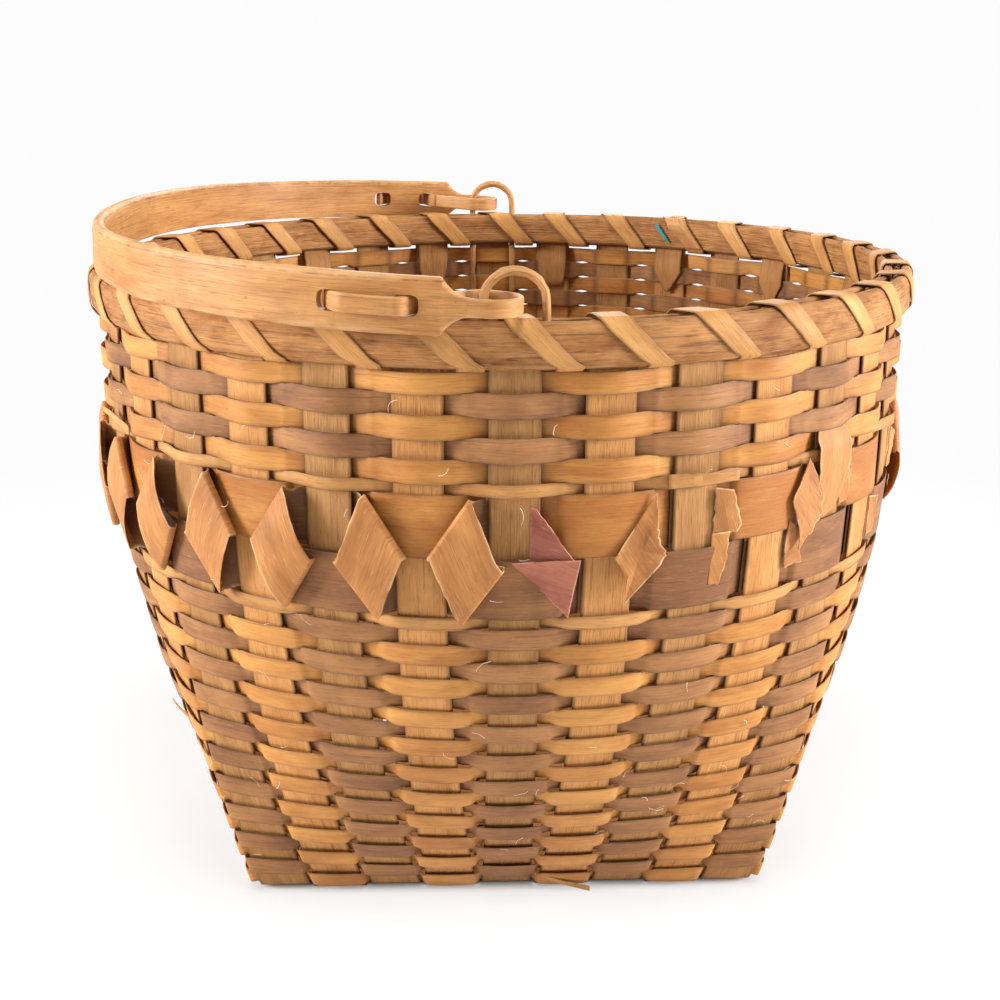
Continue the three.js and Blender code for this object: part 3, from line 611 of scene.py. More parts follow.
def weaver(r, name, bottom, top, kind, finish):
    over_out, under_in, over_least, under_least, swell, slack = KINDS[kind]
    build = Build(300 + r)
    count = STAKES * len(STEPS)
    rise = drift(count, 14, slack, 40 + r, True)
    width = drift(count, 20, slack * 0.7, 80 + r, True)
    lean = drift(count, 16, 0.35, 120 + r, True)
    bulge = np.random.default_rng(160 + r).uniform(0.9, 1.12, STAKES)
    stations, dirt_and_painted_shade = [], []
    for k in range(count):
        j, u = k // len(STEPS), STEPS[k % len(STEPS)]
        over = (j + r) % 2 == 1
        share = half_share_at(j, (bottom + top) / 2)
        if over:
            depth = weave_depth(u, share, over_out * bulge[j], over_least)
        else:
            depth = -weave_depth(u, share, under_in, under_least)
        open_part = min(1, (0.5 - abs(u)) / 0.12)
        spread = 1 + (swell - 1) * open_part * open_part * (3 - 2 * open_part)
        if kind == "bowed" and j in BACK_STAKES and open_part < 1:
            spread *= LIGHT_GAP
        half = ((top - bottom - ROW_GAP * 0.5) / 2 - abs(width[k]) * 0.4) * spread
        middle = (bottom + top) / 2 + rise[k] * 0.4
        a, b = max(middle - half, FLOOR_CLEAR), min(middle + half, ROW_TOP)
        out = outward(j + u, a, b)
        tilt = lean[k] * (1 if over and abs(u) < share else 0.2)
        stations.append((wall(j + u, a) + out * (depth + max(tilt, 0)),
                         wall(j + u, b) + out * (depth + max(-tilt, 0)), out))
        # Painted shade on a row where it passes behind a stake, darkest at the stake's edges
        slip = (abs(u) - share) / (0.5 - share)
        dirt_and_painted_shade.append(0.0 if over else 0.9 * max(0, 1 - abs(slip)) ** 5)
    tone = drift(count, len(STEPS) * 0.9, 0.3, 200 + r, True) + build.rng.uniform(0.35, 0.65)
    tone += WIDE_TONE if kind == "wide" else 0
    # Painted shade along both edges, for the shadow lines above and below the row
    build.strip(*zip(*stations), WEAVER_THICK, tone, True, dirt_and_painted_shade, 0.2, painted_edge_shade=0.55)
    build.piece(name + "_splint", finish, name)


ROWS = wall_rows()
for r, row in enumerate(ROWS):
    weaver(r, *row)


# Curl strip

CURL_WIDTH = 24.4
CURL_THICK = 0.55
FOLD_ANGLE = math.radians(55.7)
FOLD_RADIUS = 1.7
FOLD_BULGE = 1.0
FOLD_LEAN = 1.9
CURL_OFFSET = 0.5 + 0.4 + 0.4
LAP_OUT = ROW_FACE + 0.4 + 1.2
EDGE_CLEAR = 0.8
BAND_LOW, BAND_MIDDLE = ROWS[LOWER_ROWS + 1][1:3]
BAND_HIGH = ROWS[LOWER_ROWS + 2][2]
SLACK = (WIDE_PITCH - CURL_WIDTH) / 2
UPPER_LEVEL, LOWER_LEVEL = BAND_MIDDLE + SLACK, BAND_MIDDLE - SLACK - CURL_WIDTH
# The gaps, by the stake before them, whose curls are torn off, and the first stake that a run
# of the strip is counted from
TORN = (4, 5, 6, 7, 8, 9, 10, 20)
FIRST_TORN = 8
# Round a fold's end, from the lap below to the lap above: lift and reach past it, in fold radii
FOLD_TURN = [(0.3, 0.85), (1, 1.15), (1.7, 0.9), (2.05, 0.2)]


def stake_edge(j, side, height, past=0.0):
    """A point of stake j, at side times its half width and so much past it."""
    middle, way, half = stake_at(j, height)
    return middle + way * side * (half + past)


def behind(j, side, level):
    """The strip behind stake j, side being a share of the way to its edge, in full painted shade."""
    low, high = (stake_edge(j, side, z, EDGE_CLEAR) for z in (level, level + CURL_WIDTH))
    out = unit(np.cross(stake_at(j, level)[1], high - low))
    return low - out * CURL_OFFSET, high - out * CURL_OFFSET, 1.0


def gap_frame(j):
    """Middle, sideways, upward and outward directions of the gap after stake j."""
    left, right = stake_edge(j, 1, BAND_MIDDLE), stake_edge(j + 1, -1, BAND_MIDDLE)
    across = unit(right - left)
    out = unit(np.cross(across, stake_edge(j, 1, BAND_HIGH) - stake_edge(j, 1, BAND_LOW)))
    return (left + right) / 2, across, np.cross(out, across), out


def fold_line(j, end, lift, past):
    """The two ends of a line parallel to a fold, in the gap after stake j, with painted shade where the
    fold leaves the band.
    """
    centre, across, along, out = gap_frame(j)
    tilt = -1 if j % 2 == 1 else 1
    way = across * -math.cos(FOLD_ANGLE) + along * tilt * math.sin(FOLD_ANGLE)
    off = across * math.sin(FOLD_ANGLE) + along * tilt * math.cos(FOLD_ANGLE)
    half = CURL_WIDTH / 2 / math.sin(FOLD_ANGLE)
    shift = WIDE_PITCH / 2 / math.tan(math.pi - 2 * FOLD_ANGLE)
    middle = (centre + across * end * shift + along * end * tilt * WIDE_PITCH / 2
              + out * (LAP_OUT + lift) + off * end * past)
    ends = [middle + way * side * tilt * half - out * end * tilt * side * FOLD_LEAN / 2
            for side in (-1, 1)]
    return ends[0], ends[1], 0.75 if lift == 0 else 0.0


def curls():
    """Runs of the strip between torn gaps, and the stub of it at each torn gap."""
    build = Build(77)
    runs, run = [], []
    for k in range(STAKES):
        j = (k + FIRST_TORN) % STAKES
        start, finish = (LOWER_LEVEL, UPPER_LEVEL) if j % 2 else (UPPER_LEVEL, LOWER_LEVEL)
        if j in TORN:
            runs.append(run + [behind(j, -1, start), behind(j, 0.4, start)])
            run = [behind(j + 1, -0.4, finish)]
            continue
        bulge = FOLD_BULGE + np.random.default_rng(500 + j).uniform(-0.6, 1.6)
        turn = [(0, -0.2)] + [(lift * FOLD_RADIUS, past * FOLD_RADIUS) for lift, past in FOLD_TURN]
        run += [behind(j, side, start) for side in (-1, 0, 1)]
        run += [fold_line(j, 1, *place) for place in turn]
        run += [fold_line(j, end, 2 * FOLD_RADIUS + share * bulge, 0)
                for end, share in ((0.5, 0.8), (0, 1), (-0.5, 0.8))]
        run += [fold_line(j, -1, *place) for place in reversed(turn)]
        run.append(behind(j + 1, -1, finish))
    for k, rows in enumerate(runs):
        if len(rows) > 2:
            ribbon(build, rows, CURL_THICK, 4, 0.7, 600 + 2 * k)
    build.piece("curl_strip_splint", "curl_splint", "curl_strip")


curls()


# Rim hoops

OUTER_INSIDE = RIM_RADIUS + 0.5 + LAYER_GAP
OUTER_THICK = 5.4
OUTER_DROP = 18.3
INNER_THICK = 4.4
INNER_HEIGHT = 16.6
INNER_INSIDE = RIM_RADIUS - 0.5 - STAKE_THICK - 2 * LAYER_GAP - INNER_THICK
HOOP_STATIONS = 384


def hoop(node, inside, section, start, seed):
    """A riven hoop. Its section is how far out of its inside and below the rim's top it goes."""
    build = Build(seed)
    section = np.array(section, float)
    wander = [drift(HOOP_STATIONS, 9, 0.25, seed + k, True)
              + drift(HOOP_STATIONS, 2.2, 0.12, seed + 50 + k, True) for k in range(len(section))]
    rise = [drift(HOOP_STATIONS, 30, 0.45, seed + 90 + k // 4, True) for k in range(len(section))]
    # Halfway between a circle through the stakes and the polygon round it
    round_off = 1 + (1 / math.cos(PITCH / 2) - 1) * 0.5
    loops = []
    for i in range(HOOP_STATIONS):
        radial, _ = rim_axes(start + i * 2 * math.pi / HOOP_STATIONS)
        loops.append([radial * (inside + out + wander[k][i] * 0.6) * round_off
                      + UP * (RIM_TOP - drop + rise[k][i]) for k, (out, drop) in enumerate(section)])
    sides = np.linalg.norm(np.roll(section, -1, axis=0) - section, axis=1)
    build.sections(loops, np.concatenate([[0], np.cumsum(sides)])[:-1], 0.2, True)
    build.piece(node + "_wood", "hoop_wood", node)


hoop("rim_hoop_outer", OUTER_INSIDE,
     [(0, OUTER_DROP - 1), (0, 1), (0.8, 0.2), (2.2, 0), (3.6, 0.8), (4.7, 2.2), (5.2, 5), (5.3, 8.6),
      (5.2, 12.6), (4.8, 15.6), (3.6, 17.4), (1.8, OUTER_DROP)], 2.2 * math.pi, 21)
hoop("rim_hoop_inner", INNER_INSIDE,
     [(0, INNER_HEIGHT - 1.6), (0, 8), (0.1, 1.8), (0.9, 0.5), (2.2, 0.1), (3.3, 0.3), (3.7, 1.2),
      (3.7, INNER_HEIGHT - 1.2), (3, INNER_HEIGHT), (1.4, INNER_HEIGHT)], 0.3, 22)


# Lashing

LASH_THICK = 0.7
LASH_WIDTH = 13.4
LASH_GAP = 11.0


def rim_station(angle, radius, height, width):
    """Edges and painted shade, which is none, of a strip that lies along the rim's way round, at a
    place by the rim.
    """
    radial, tangent = rim_axes(angle)
    centre = radial * radius + UP * height
    return centre - tangent * width / 2, centre + tangent * width / 2, 0.0


def lashing():
    build = Build(31)
    rows = []
    rng = np.random.default_rng(32)
    outside = OUTER_INSIDE + OUTER_THICK + LAYER_GAP + 0.42
    inside = INNER_INSIDE - LAYER_GAP - 0.5
    bottom_out = RIM_TOP - OUTER_DROP - 0.6
    bottom_in = RIM_TOP - INNER_HEIGHT - 0.9
    over = RIM_TOP + LAYER_GAP + 0.2
    for j in range(STAKES):
        gap = stake_angle(j) + PITCH / 2 + rng.uniform(-0.012, 0.012)
        start, finish = gap - 0.5 * PITCH, gap + 0.4 * PITCH
        wide = LASH_WIDTH * rng.uniform(0.88, 1.02)
        rows += [rim_station(*place) for place in (
            (start, outside - 4.4, over + 0.15, wide),
            (start + 0.02 * PITCH, outside - 2.1, over - 0.5, wide),
            (between(start, gap, 0.16), outside - 0.35, over - 3.6, wide),
            (between(start, gap, 0.45), outside, between(over, bottom_out, 0.45),
             between(wide, LASH_GAP, 0.2)),
            (between(start, gap, 0.8), outside, between(over, bottom_out, 0.78),
             between(wide, LASH_GAP, 0.6)),
            (gap, outside - 1.3, bottom_out + 1.9, LASH_GAP),
            (gap, outside - 3.4, bottom_out + 0.1, LASH_GAP),
            (gap, (outside + inside) / 2, between(bottom_out, bottom_in, 0.5) - 0.1, LASH_GAP),
            (gap, inside + 1.9, bottom_in - 0.1, LASH_GAP),
            (gap, inside + 0.1, bottom_in + 1.8, LASH_GAP),
            (between(gap, finish, 0.4), inside - 0.1, between(bottom_in, over, 0.45),
             between(LASH_GAP, wide, 0.5)),
            (between(gap, finish, 0.85), inside - 0.1, over - 3.0, between(LASH_GAP, wide, 0.9)),
            (finish, inside + 1.2, over - 0.1, wide),
            (finish + 0.03 * PITCH, inside + 3.6, over + 0.15, wide))]
    # The last number is painted shade along the edges, for the dark lines between the wraps
    ribbon(build, rows, LASH_THICK, 2, 0.4, 35, True, 0.2, 0.6)
    build.piece("rim_lashing_splint", "lashing_splint", "rim_lashing")


lashing()


# Ears

AXIS = RIM_TOP + 6.0
EAR_SPAN = 11.8
SLIVERS = 7
SLIVER_STATIONS = 16


def ear(node, j, seed):
    """A bent withe at stake j, with its legs inside the wall and slivers that lift off its arch."""
    build = Build(seed)
    radial, tangent = rim_axes(stake_angle(j))
    tuck = ROW_FACE + LAYER_GAP + 1.2 + 0.35
    low, bend = AXIS - 52.5, RIM_TOP - 20
    leg = [(low, tuck), (low + 10, tuck), (bend - 1.5, tuck), (bend + 1.4, tuck - 1.9),
           (bend + 3.4, 0.9), (RIM_TOP - 8, 0.8), (AXIS - 5, 0.8)]
    turns = [math.pi * (1 - i / 12) for i in range(1, 12)]
    places = [(-EAR_SPAN, *part) for part in leg]
    places += [(math.cos(turn) * EAR_SPAN, AXIS + math.sin(turn) * EAR_SPAN, 0.8) for turn in turns]
    places += [(EAR_SPAN, *part) for part in leg[::-1]]
    line = smooth_line([radial * (RIM_RADIUS - inset) + tangent * along + UP * height
                        for along, height, inset in places], 4)
    count = len(line)
    radii = []
    for part in np.linspace(-1, 1, count):
        notch = 1 - 0.35 * math.exp(-((abs(part) - 0.9) / 0.02) ** 2)
        radii.append(((1.75 + 0.15 * math.cos(6 * part)) * notch, 1.05 + 0.25 * (1 - abs(part))))
    tube(build, line, radii, 12, seed, 0.5, 0.12, radial)
    share = np.linspace(0, 1, SLIVER_STATIONS)
    for k in range(SLIVERS):
        start = int(count * (0.34 + 0.045 * k))
        side = 1 if k % 2 else -1
        piece = line[start:start + SLIVER_STATIONS] + radial * 1.2 * side
        piece = piece + tangent * (0.5 * math.sin(2.3 * k)) + share[:, None] ** 2 * radial * 0.9 * side
        tube(build, piece, [(0.42 * (1 - p * 0.85), 0.25) for p in share],
             5, seed + 60 + k, 0.9, 0.12, radial)
    build.piece(node + "_withe", "ear_withe", node)


ear("ear_front", 4, 201)
ear("ear_back", 20, 231)


# Bail, in its own plane: reach is to the left of the axis, span to the front or back

BAIL_THICK = 5.5
BAIL_REACH = 187.0 - BAIL_THICK / 2
BAIL_SPAN = 205.0 - BAIL_THICK / 2
BAIL_POWER = 2.3
BAIL_WIDTH = 22.0
BAIL_TILT = math.radians(2.3)
BAIL_STATIONS = 150
SHOULDER_START = 28.0
TAIL_START = 18.0
TAIL_WIDTH = 7.0
TAIL_THICK = 2.4
RING_CENTRE = 9.6
RING_RADIUS = 11.4
RING_OPEN = math.radians(69)
SLOT_LENGTH = 10.0
SLOT_HEIGHT = 7.9
SLOT_CORNERS = 20
NEAR_SLOT = 39.6
FAR_SLOT = 66.5
# The necks: how far from shoulder to tail, and the share of the band's size that is left
NECK = [(0.1, 0.93), (0.16, 0.8), (0.28, 0.6), (0.42, 0.42), (0.58, 0.26), (0.74, 0.14),
        (0.9, 0.05), (1.15, 0)]
# Corners of the bail's section: share of half the thickness outwards, of half the width upwards
BAIL_SECTION = [(1, 0.3), (1.02, 0), (1, -0.3), (0.98, -0.72), (0.82, -0.9), (0.45, -0.985), (0, -1),
                (-0.45, -0.985), (-0.82, -0.9), (-0.98, -0.72), (-1, 0), (-0.98, 0.72),
                (-0.82, 0.9), (-0.45, 0.985), (0, 1), (0.45, 0.985), (0.82, 0.9), (0.98, 0.72)]


def bail_curve(angle):
    a = BAIL_REACH * math.cos(angle) ** (2 / BAIL_POWER)
    b = BAIL_SPAN * abs(math.sin(angle)) ** (2 / BAIL_POWER)
    return np.array([-a, math.copysign(b, angle), 0])


def span_at(reach):
    return BAIL_SPAN * (1 - (reach / BAIL_REACH) ** BAIL_POWER) ** (1 / BAIL_POWER)


def hung(points):
    """From the bail's own plane to its place at rest."""
    x, y, z = np.moveaxis(np.asarray(points, float), -1, 0)
    c, s = math.cos(BAIL_TILT), math.sin(BAIL_TILT)
    return np.stack([x * c + z * s, y, -x * s + z * c + AXIS], axis=-1)


def bail_bar(build, line, widths, thicks, seed, start):
    """A shaved bar along a line in the bail's plane."""
    line = np.asarray(line, float)
    out = np.cross(np.gradient(line, axis=0), UP)
    out /= np.linalg.norm(out, axis=1)[:, None]
    rough = [drift(len(line), 12, 0.035, seed + k) for k in range(len(BAIL_SECTION))]
    loops, across = [], []
    for i, (point, width, thick) in enumerate(zip(line, widths, thicks)):
        loops.append([point + out[i] * (face * thick / 2 * (1 + rough[k][i]))
                      + UP * (side * width / 2 * (1 + rough[k][i] * 0.3))
                      for k, (face, side) in enumerate(BAIL_SECTION)])
        across.append([side * width / 2 for _, side in BAIL_SECTION])
    worn = [0.4 if abs(side) > 0.8 and abs(face) > 0.4 else 0.05 for face, side in BAIL_SECTION]
    build.sections(hung(loops), across, worn, start=start)


def slot_cutter(end, reach):
    """A block in the shape of a slot, through the band."""
    slope = (span_at(reach + 4) - span_at(reach - 4)) / 8
    centre = np.array([-reach, end * span_at(reach), 0])
    way = unit(np.array([-1.0, end * slope, 0]))
    out = np.cross(way, UP)
    ring = []
    for i in range(SLOT_CORNERS):
        angle = 2 * math.pi * i / SLOT_CORNERS
        x, z = (math.copysign(abs(v) ** 0.6, v) * size / 2 for v, size in
                ((math.cos(angle), SLOT_LENGTH), (math.sin(angle), SLOT_HEIGHT)))
        ring.append(centre + way * x + UP * z)
    build = Build(1)
    build.sections(hung([[p + out * depth for p in ring] for depth in (-9, 9)]), 0, 0, tone=0.3)
    cutter = build.object("slot_cutter", "bail_wood")
    cutter.modifiers.clear()
    return cutter


def bail_band():
    """The broad part with its two drawn-in necks, and the slots cut through it."""
    full = math.acos((SHOULDER_START / BAIL_REACH) ** (BAIL_POWER / 2))
    bar = [(bail_curve(angle), min(BAIL_WIDTH + 0.6 * math.sin(5 * angle), BAIL_WIDTH), BAIL_THICK)
           for angle in full * np.linspace(-1, 1, BAIL_STATIONS)]
    for along, share in NECK:
        reach = between(SHOULDER_START, TAIL_START, along)
        span = span_at(reach)
        size = between(TAIL_WIDTH, BAIL_WIDTH, share), between(TAIL_THICK, BAIL_THICK, share)
        bar.insert(0, (np.array([-reach, -span, 0]), *size))
        bar.append((np.array([-reach, span, 0]), *size))
    build = Build(41)
    bail_bar(build, *zip(*bar), 42, 100.0)
    made = build.object("bail_band", "bail_wood")
    made.modifiers.clear()
    cutters = [slot_cutter(end, reach) for end in (-1, 1) for reach in (NEAR_SLOT, FAR_SLOT)]
    for cutter in cutters:
        cut = made.modifiers.new("slot", "BOOLEAN")
        cut.operation = "DIFFERENCE"
        cut.solver = "EXACT"
        cut.object = cutter
    depsgraph = bpy.context.evaluated_depsgraph_get()
    mesh = bpy.data.meshes.new_from_object(made.evaluated_get(depsgraph))
    made.modifiers.clear()
    made.data = mesh
    mesh.set_sharp_from_angle(angle=math.radians(38))
    for cutter in cutters:
        bpy.data.objects.remove(cutter)
    made.modifiers.new("weighted", "WEIGHTED_NORMAL").keep_sharp = True
    dress(made, "bail_wood", "bail", body="bail")


def bail_tail(name, end, seed):
    """From the neck round the ear, back inside, out through the near slot and in at the far one."""
    half = SLOT_LENGTH / 2
    clear = BAIL_THICK / 2 + TAIL_THICK / 2 + 2 * LAYER_GAP
    points = [(reach, span_at(reach)) for reach in (20.0, TAIL_START)]
    ring_span = span_at(RING_CENTRE) + TAIL_THICK / 2 - RING_RADIUS
    for i in range(9):
        angle = RING_OPEN + (2 * math.pi - 2 * RING_OPEN) * i / 8
        points.append((RING_CENTRE + RING_RADIUS * math.cos(angle),
                       ring_span + RING_RADIUS * math.sin(angle)))
    for reach, out in ((NEAR_SLOT - half - 3, -clear - TAIL_THICK / 2),
                       (NEAR_SLOT - half + 0.6, -clear + 0.4), (NEAR_SLOT + half - 3.2, clear - 0.5),
                       (NEAR_SLOT + half + 1.5, clear + 0.5), ((NEAR_SLOT + FAR_SLOT) / 2, clear + 0.9),
                       (FAR_SLOT - half - 1.5, clear + 0.5), (FAR_SLOT - half + 2.8, clear - 0.6),
                       (FAR_SLOT + half - 3, -BAIL_THICK / 4)):
        points.append((reach, span_at(reach) + out))
    line = smooth_line([(-reach, end * span, 0) for reach, span in points], 5)
    widths = TAIL_WIDTH + drift(len(line), 8, 0.35, seed)
    thicks = TAIL_THICK + drift(len(line), 6, 0.12, seed + 1)
    build = Build(seed)
    bail_bar(build, line, widths, thicks, seed + 2, 20.0)
    build.piece(name, "bail_wood", body="bail")


bail_band()
bail_tail("bail_tail_front", -1, 51)
bail_tail("bail_tail_back", 1, 55)


# Torn and loose ends

SCRAP_THICK = 0.5


def scrap(build, points, ragged, tone, grain):
    """A flat bit of splint from its outline, with torn edges.

    Each point is (place, tear): tear roughens the side that starts there. grain is its direction,
    by shares of the first side and of the way square to it.
    """
    outline = []
    for (point, tear), (after, _) in zip(points, points[1:] + points[:1]):
        steps = max(int(np.linalg.norm(after - point) / 1.1), 2)
        outline += [(point + (after - point) * i / steps, tear if i else 0) for i in range(steps)]
    line = np.array([place for place, _ in outline])
    count = len(line)
    centre = line.mean(axis=0)
    normal = unit(np.cross(line - centre, np.roll(line, -1, axis=0) - line).sum(axis=0))
    rough = drift(count, 1.5, 1, build.rng.integers(1 << 30), True)
    for i in range(count):
        line[i] += unit(line[i] - centre) * rough[i] * ragged * outline[i][1]
    line += normal * drift(count, 5, 0.3, build.rng.integers(1 << 30), True)[:, None]
    rings = []
    for edge, lift in ((True, -1), (True, 1), (False, 1), (False, -1)):
        places = []
        for p in line:
            inset = 0 if edge else min(0.9, np.linalg.norm(p - centre) * 0.5)
            places.append(p - unit(p - centre) * inset + normal * lift * SCRAP_THICK / 2)
        rings.append(build.add_points(places, tone, 0.8 if edge else 0.0))
    top, bottom = (build.add_points([centre + normal * lift * SCRAP_THICK / 2], tone, 0.0)
                   for lift in (1, -1))
    flat_x = unit(points[1][0] - points[0][0])
    flat_y = np.cross(normal, flat_x)
    a, b, c, d = rings
    for i in range(count):
        k = (i + 1) % count
        for corners in ([a + i, a + k, b + k, b + i], [b + i, b + k, c + k, c + i],
                        [d + i, d + k, a + k, a + i], [c + i, c + k, top], [d + k, d + i, bottom]):
            build.faces.append(corners)
            places = np.array([build.points[corner] for corner in corners]) - centre
            flat = [(p.dot(flat_x), p.dot(flat_y)) for p in places]
            build.uvs.append([(x * grain[0] + y * grain[1] + 900 * tone,
                               y * grain[0] - x * grain[1]) for x, y in flat])


def on_gap(j, dx, dz, out):
    """A point by its offset from the middle of the gap after stake j, at the bands' joint."""
    centre, across, along, normal = gap_frame(j)
    return centre + across * dx + along * dz + normal * out


def scraps(name, finish, seed, rows, ragged, grain):
    """Torn bits of the curl strip.

    Each row has the stake before its gap, a tone and an outline. The outline's numbers are the
    three of on_gap, and how torn the side is that starts there.
    """
    build = Build(seed)
    for j, tone, outline in rows:
        points = [(on_gap(j, *place), tear) for *place, tear in outline]
        scrap(build, points, ragged, tone, grain)
    build.piece(name, finish, slot="curl_splint")


scraps("torn_curls", "curl_splint", 91, [
    # after stake 5: one narrow torn lozenge
    (5, 0.4, [(0, 25, 1.4, 0), (-17, 0, 3.2, 0), (-12, -8, 4.8, 1), (-12.5, -20, 3.4, 0),
              (1.5, -3.5, 5.4, 1), (4.5, -0.5, 3.6, 1), (1, 6, 4.8, 1), (0, 14, 4.0, 1)]),
    # after stake 6: a ragged end, and what is left below it
    (6, 0.0, [(-11, 24, 0.6, 0), (-3, 22.5, 2.4, 0.6), (1.3, 8, 3.4, 1), (-1, 4.5, 3.4, 1),
              (-11, 5, 1.0, 1)]),
    (6, 0.9, [(-11.5, 5, 1.6, 0), (-3.8, 5.5, 3.0, 1), (-5, -8, 3.0, 1), (-7, -17.5, 2.0, 1),
              (-11.5, -17, 1.4, 0)]),
    # after stake 7: a leaf folded down to the left
    (7, 0.6, [(1.5, 29, 2.2, 0.5), (-8.6, 12.4, 3.6, 0), (-5, 0.8, 5.2, 1), (-3.5, -9, 5.0, 1),
              (8.6, 4.6, 5.6, 1), (9.3, 15, 4.6, 0.5)]),
    (7, 0.2, [(-9, -9, 1.8, 0), (-8, 4, 2.2, 0), (-3, 0, 3.0, 1), (2, -16, 2.2, 1),
              (-8, -17, 1.6, 0)]),
    # further round: ends broken off short
    (8, 0.5, [(-9, 22, 1.2, 0), (-2, 20, 2.6, 1), (-4, 4, 2.4, 1), (-9, 3, 1.2, 0)]),
    (9, 0.3, [(-9, -2, 1.2, 0), (-1, -3, 3.0, 1), (-3, -20, 2.0, 1), (-9, -21, 1.2, 0)]),
    (10, 0.7, [(-9, 22, 1.2, 0), (0, 18, 2.8, 1), (-3, 3, 2.4, 1), (-9, 3, 1.2, 0)]),
], 0.8, (0.4, 0.9))

# The torn end of the curl strip where its dye hasn't faded
scraps("dyed_curl_end", "dyed_splint", 95, [
    (4, 0.3, [(-12.5, 21.5, 0.4, 0), (-10.5, 21.5, 1.6, 1), (6.4, -2.6, 4.4, 0),
              (-12.5, -1.5, 1.0, 0)]),
    (4, 0.8, [(-20, 0, 3.2, 0), (6.6, 1.2, 5.6, 0), (2.6, -24, 3.4, 1), (-9, -11, 3.6, 1)]),
], 0.5, (0.9, 0.4))

# The wide patch from its top down: height, left and right edge, and how far out
PATCH_STAKE = 8
PATCH = ((241, -8, 8, 1.1), (237.5, -8.4, 8.4, 1.2), (234.8, -10.4, 9.8, 1.7),
         (232, -12.2, 11.6, 2.9), (228, -12.6, 12, 4.4), (221, -12.8, 12, 4.7),
         (213, -12.6, 11, 4.5), (206, -12, 6, 4.3), (199, -10.5, -1, 4.0))


def wide_patch():
    """A broad splint that comes out from under an upper row and hangs over the yellow band."""
    build = Build(97)
    stations = []
    for height, left, right, out in PATCH:
        middle, way, _ = stake_at(PATCH_STAKE, height)
        face = outward(PATCH_STAKE, height - 4, height + 4)
        stations.append((middle + way * left + face * out, middle + way * right + face * out, face))
    low, high, normal = (smooth_line(line, 4) for line in zip(*stations))
    share = np.linspace(0, 1, len(low)) ** 2
    for edge, sign, k in ((low, 1, 0), (high, -1, 1)):
        edge[:, 0] += sign * np.abs(drift(len(low), 1.4, 1.6, 98 + k)) * share
    build.strip(low[::-1], high[::-1], -normal[::-1], 0.6, 0.7, worn=0.4)
    build.piece("wide_patch", "curl_splint")


wide_patch()

# Ends of weavers that stick out: start and length in stake spacings, height and drop, how far out
# at each station, width and tone
LOOSE = (
    # bottom right of the front, sticking down
    (4.55, 0.95, 10.5, -7.5, (1.2, 2.6, 3.6, 4.6, 6.2), 5.0, 0.7),
    # thin row's end on the left
    (-1.35, -0.65, 226, 5.5, (2.0, 3.0, 4.6, 7.0), 4.4, 0.9),
    # thin row's end at the right of the front
    (5.62, 0.84, 225.4, -0.4, (2.6, 3.6, 4.3, 4.0), 6.0, 0.1),
    # sliver on the left, low
    (-1.2, -0.7, 86, 4.0, (1.6, 2.6, 4.0, 5.6), 3.0, 0.8))


def loose_ends():
    build = Build(99)
    for t, length, height, drop, outs, width, tone in LOOSE:
        stations = []
        for i, out in enumerate(outs):
            share = i / (len(outs) - 1)
            at, z = t + length * share, height + drop * share
            face = outward(at, z - 2, z + 2)
            half = unit(wall(at, z + 2) - wall(at, z - 2)) * (width / 2 * (1 - 0.35 * share))
            middle = wall(at, z) + face * out
            stations.append((middle - half, middle + half, face))
        lines = [smooth_line(line, 4) for line in zip(*stations)]
        # Painted shade along the edges
        build.strip(*lines, 0.5, tone, painted_edge_shade=0.4)
    build.piece("loose_ends", "tan_splint")


loose_ends()


def fibres():
    """Pale hairs that have frayed off the splints, and fluff at the folds."""
    build = Build(107)
    rng = build.rng
    spots = [(rng.uniform(-3, 11), rng.uniform(20, 262), 3.4) for _ in range(46)]
    spots += [(rng.uniform(11, 29), rng.uniform(20, 262), 3.4) for _ in range(30)]
    spots += [(j + 0.5 + rng.uniform(-0.25, 0.25), rng.uniform(176, 216), 7.0)
              for j in (0, 0, 0, 1, 1, 2, 2, 2, 3, 3, 31, 31, 15, 17, 24)]
    spots += [(rng.uniform(4.5, 8.5), rng.uniform(40, 110), 3.6) for _ in range(12)]
    for t, height, out in spots:
        face = outward(t, height - 2, height + 2)
        point = wall(t, height) + face * out
        rise = unit(wall(t, height + 2) - wall(t, height - 2))
        side = np.cross(rise, face)
        turn = rng.uniform(0, 2 * math.pi)
        bend = rng.uniform(-0.25, 0.25)
        line = []
        for i in range(int(rng.integers(5, 11))):
            line.append(point + face * 0.15 * math.sin(1.3 * i))
            point = point + (side * math.cos(turn) + rise * math.sin(turn)) * 0.9
            turn += bend + rng.uniform(-0.2, 0.2)
        count = len(line)
        radii = [(0.11 * (1 - 0.6 * i / count), 0.08) for i in range(count)]
        tube(build, line, radii, 4, int(rng.integers(1000)), 0.9, 0.1, face)
    build.values["worn"] = [1.0] * len(build.points)
    build.piece("fibres", "fluff", slot="curl_splint")


fibres()


def teal():
    """A scrap of dyed splint caught under the lashing at the back."""
    build = Build(101)
    radial, tangent = rim_axes(math.pi - 0.545)
    stations = []
    for share in (0, 0.35, 0.7, 1):
        centre = (radial * (INNER_INSIDE - 1.3) + UP * (RIM_TOP - 3 - 9.5 * share)
                  - tangent * (2 + 8.0 * share))
        half = UP * (1.6 * math.sin(math.pi * (0.25 + 0.6 * share)))
        stations.append((centre - half, centre + half, -radial))
    build.strip(*zip(*stations), 0.5, 0.5)
    build.piece("teal_scrap", "teal_scrap", slot="lashing_splint")


teal()


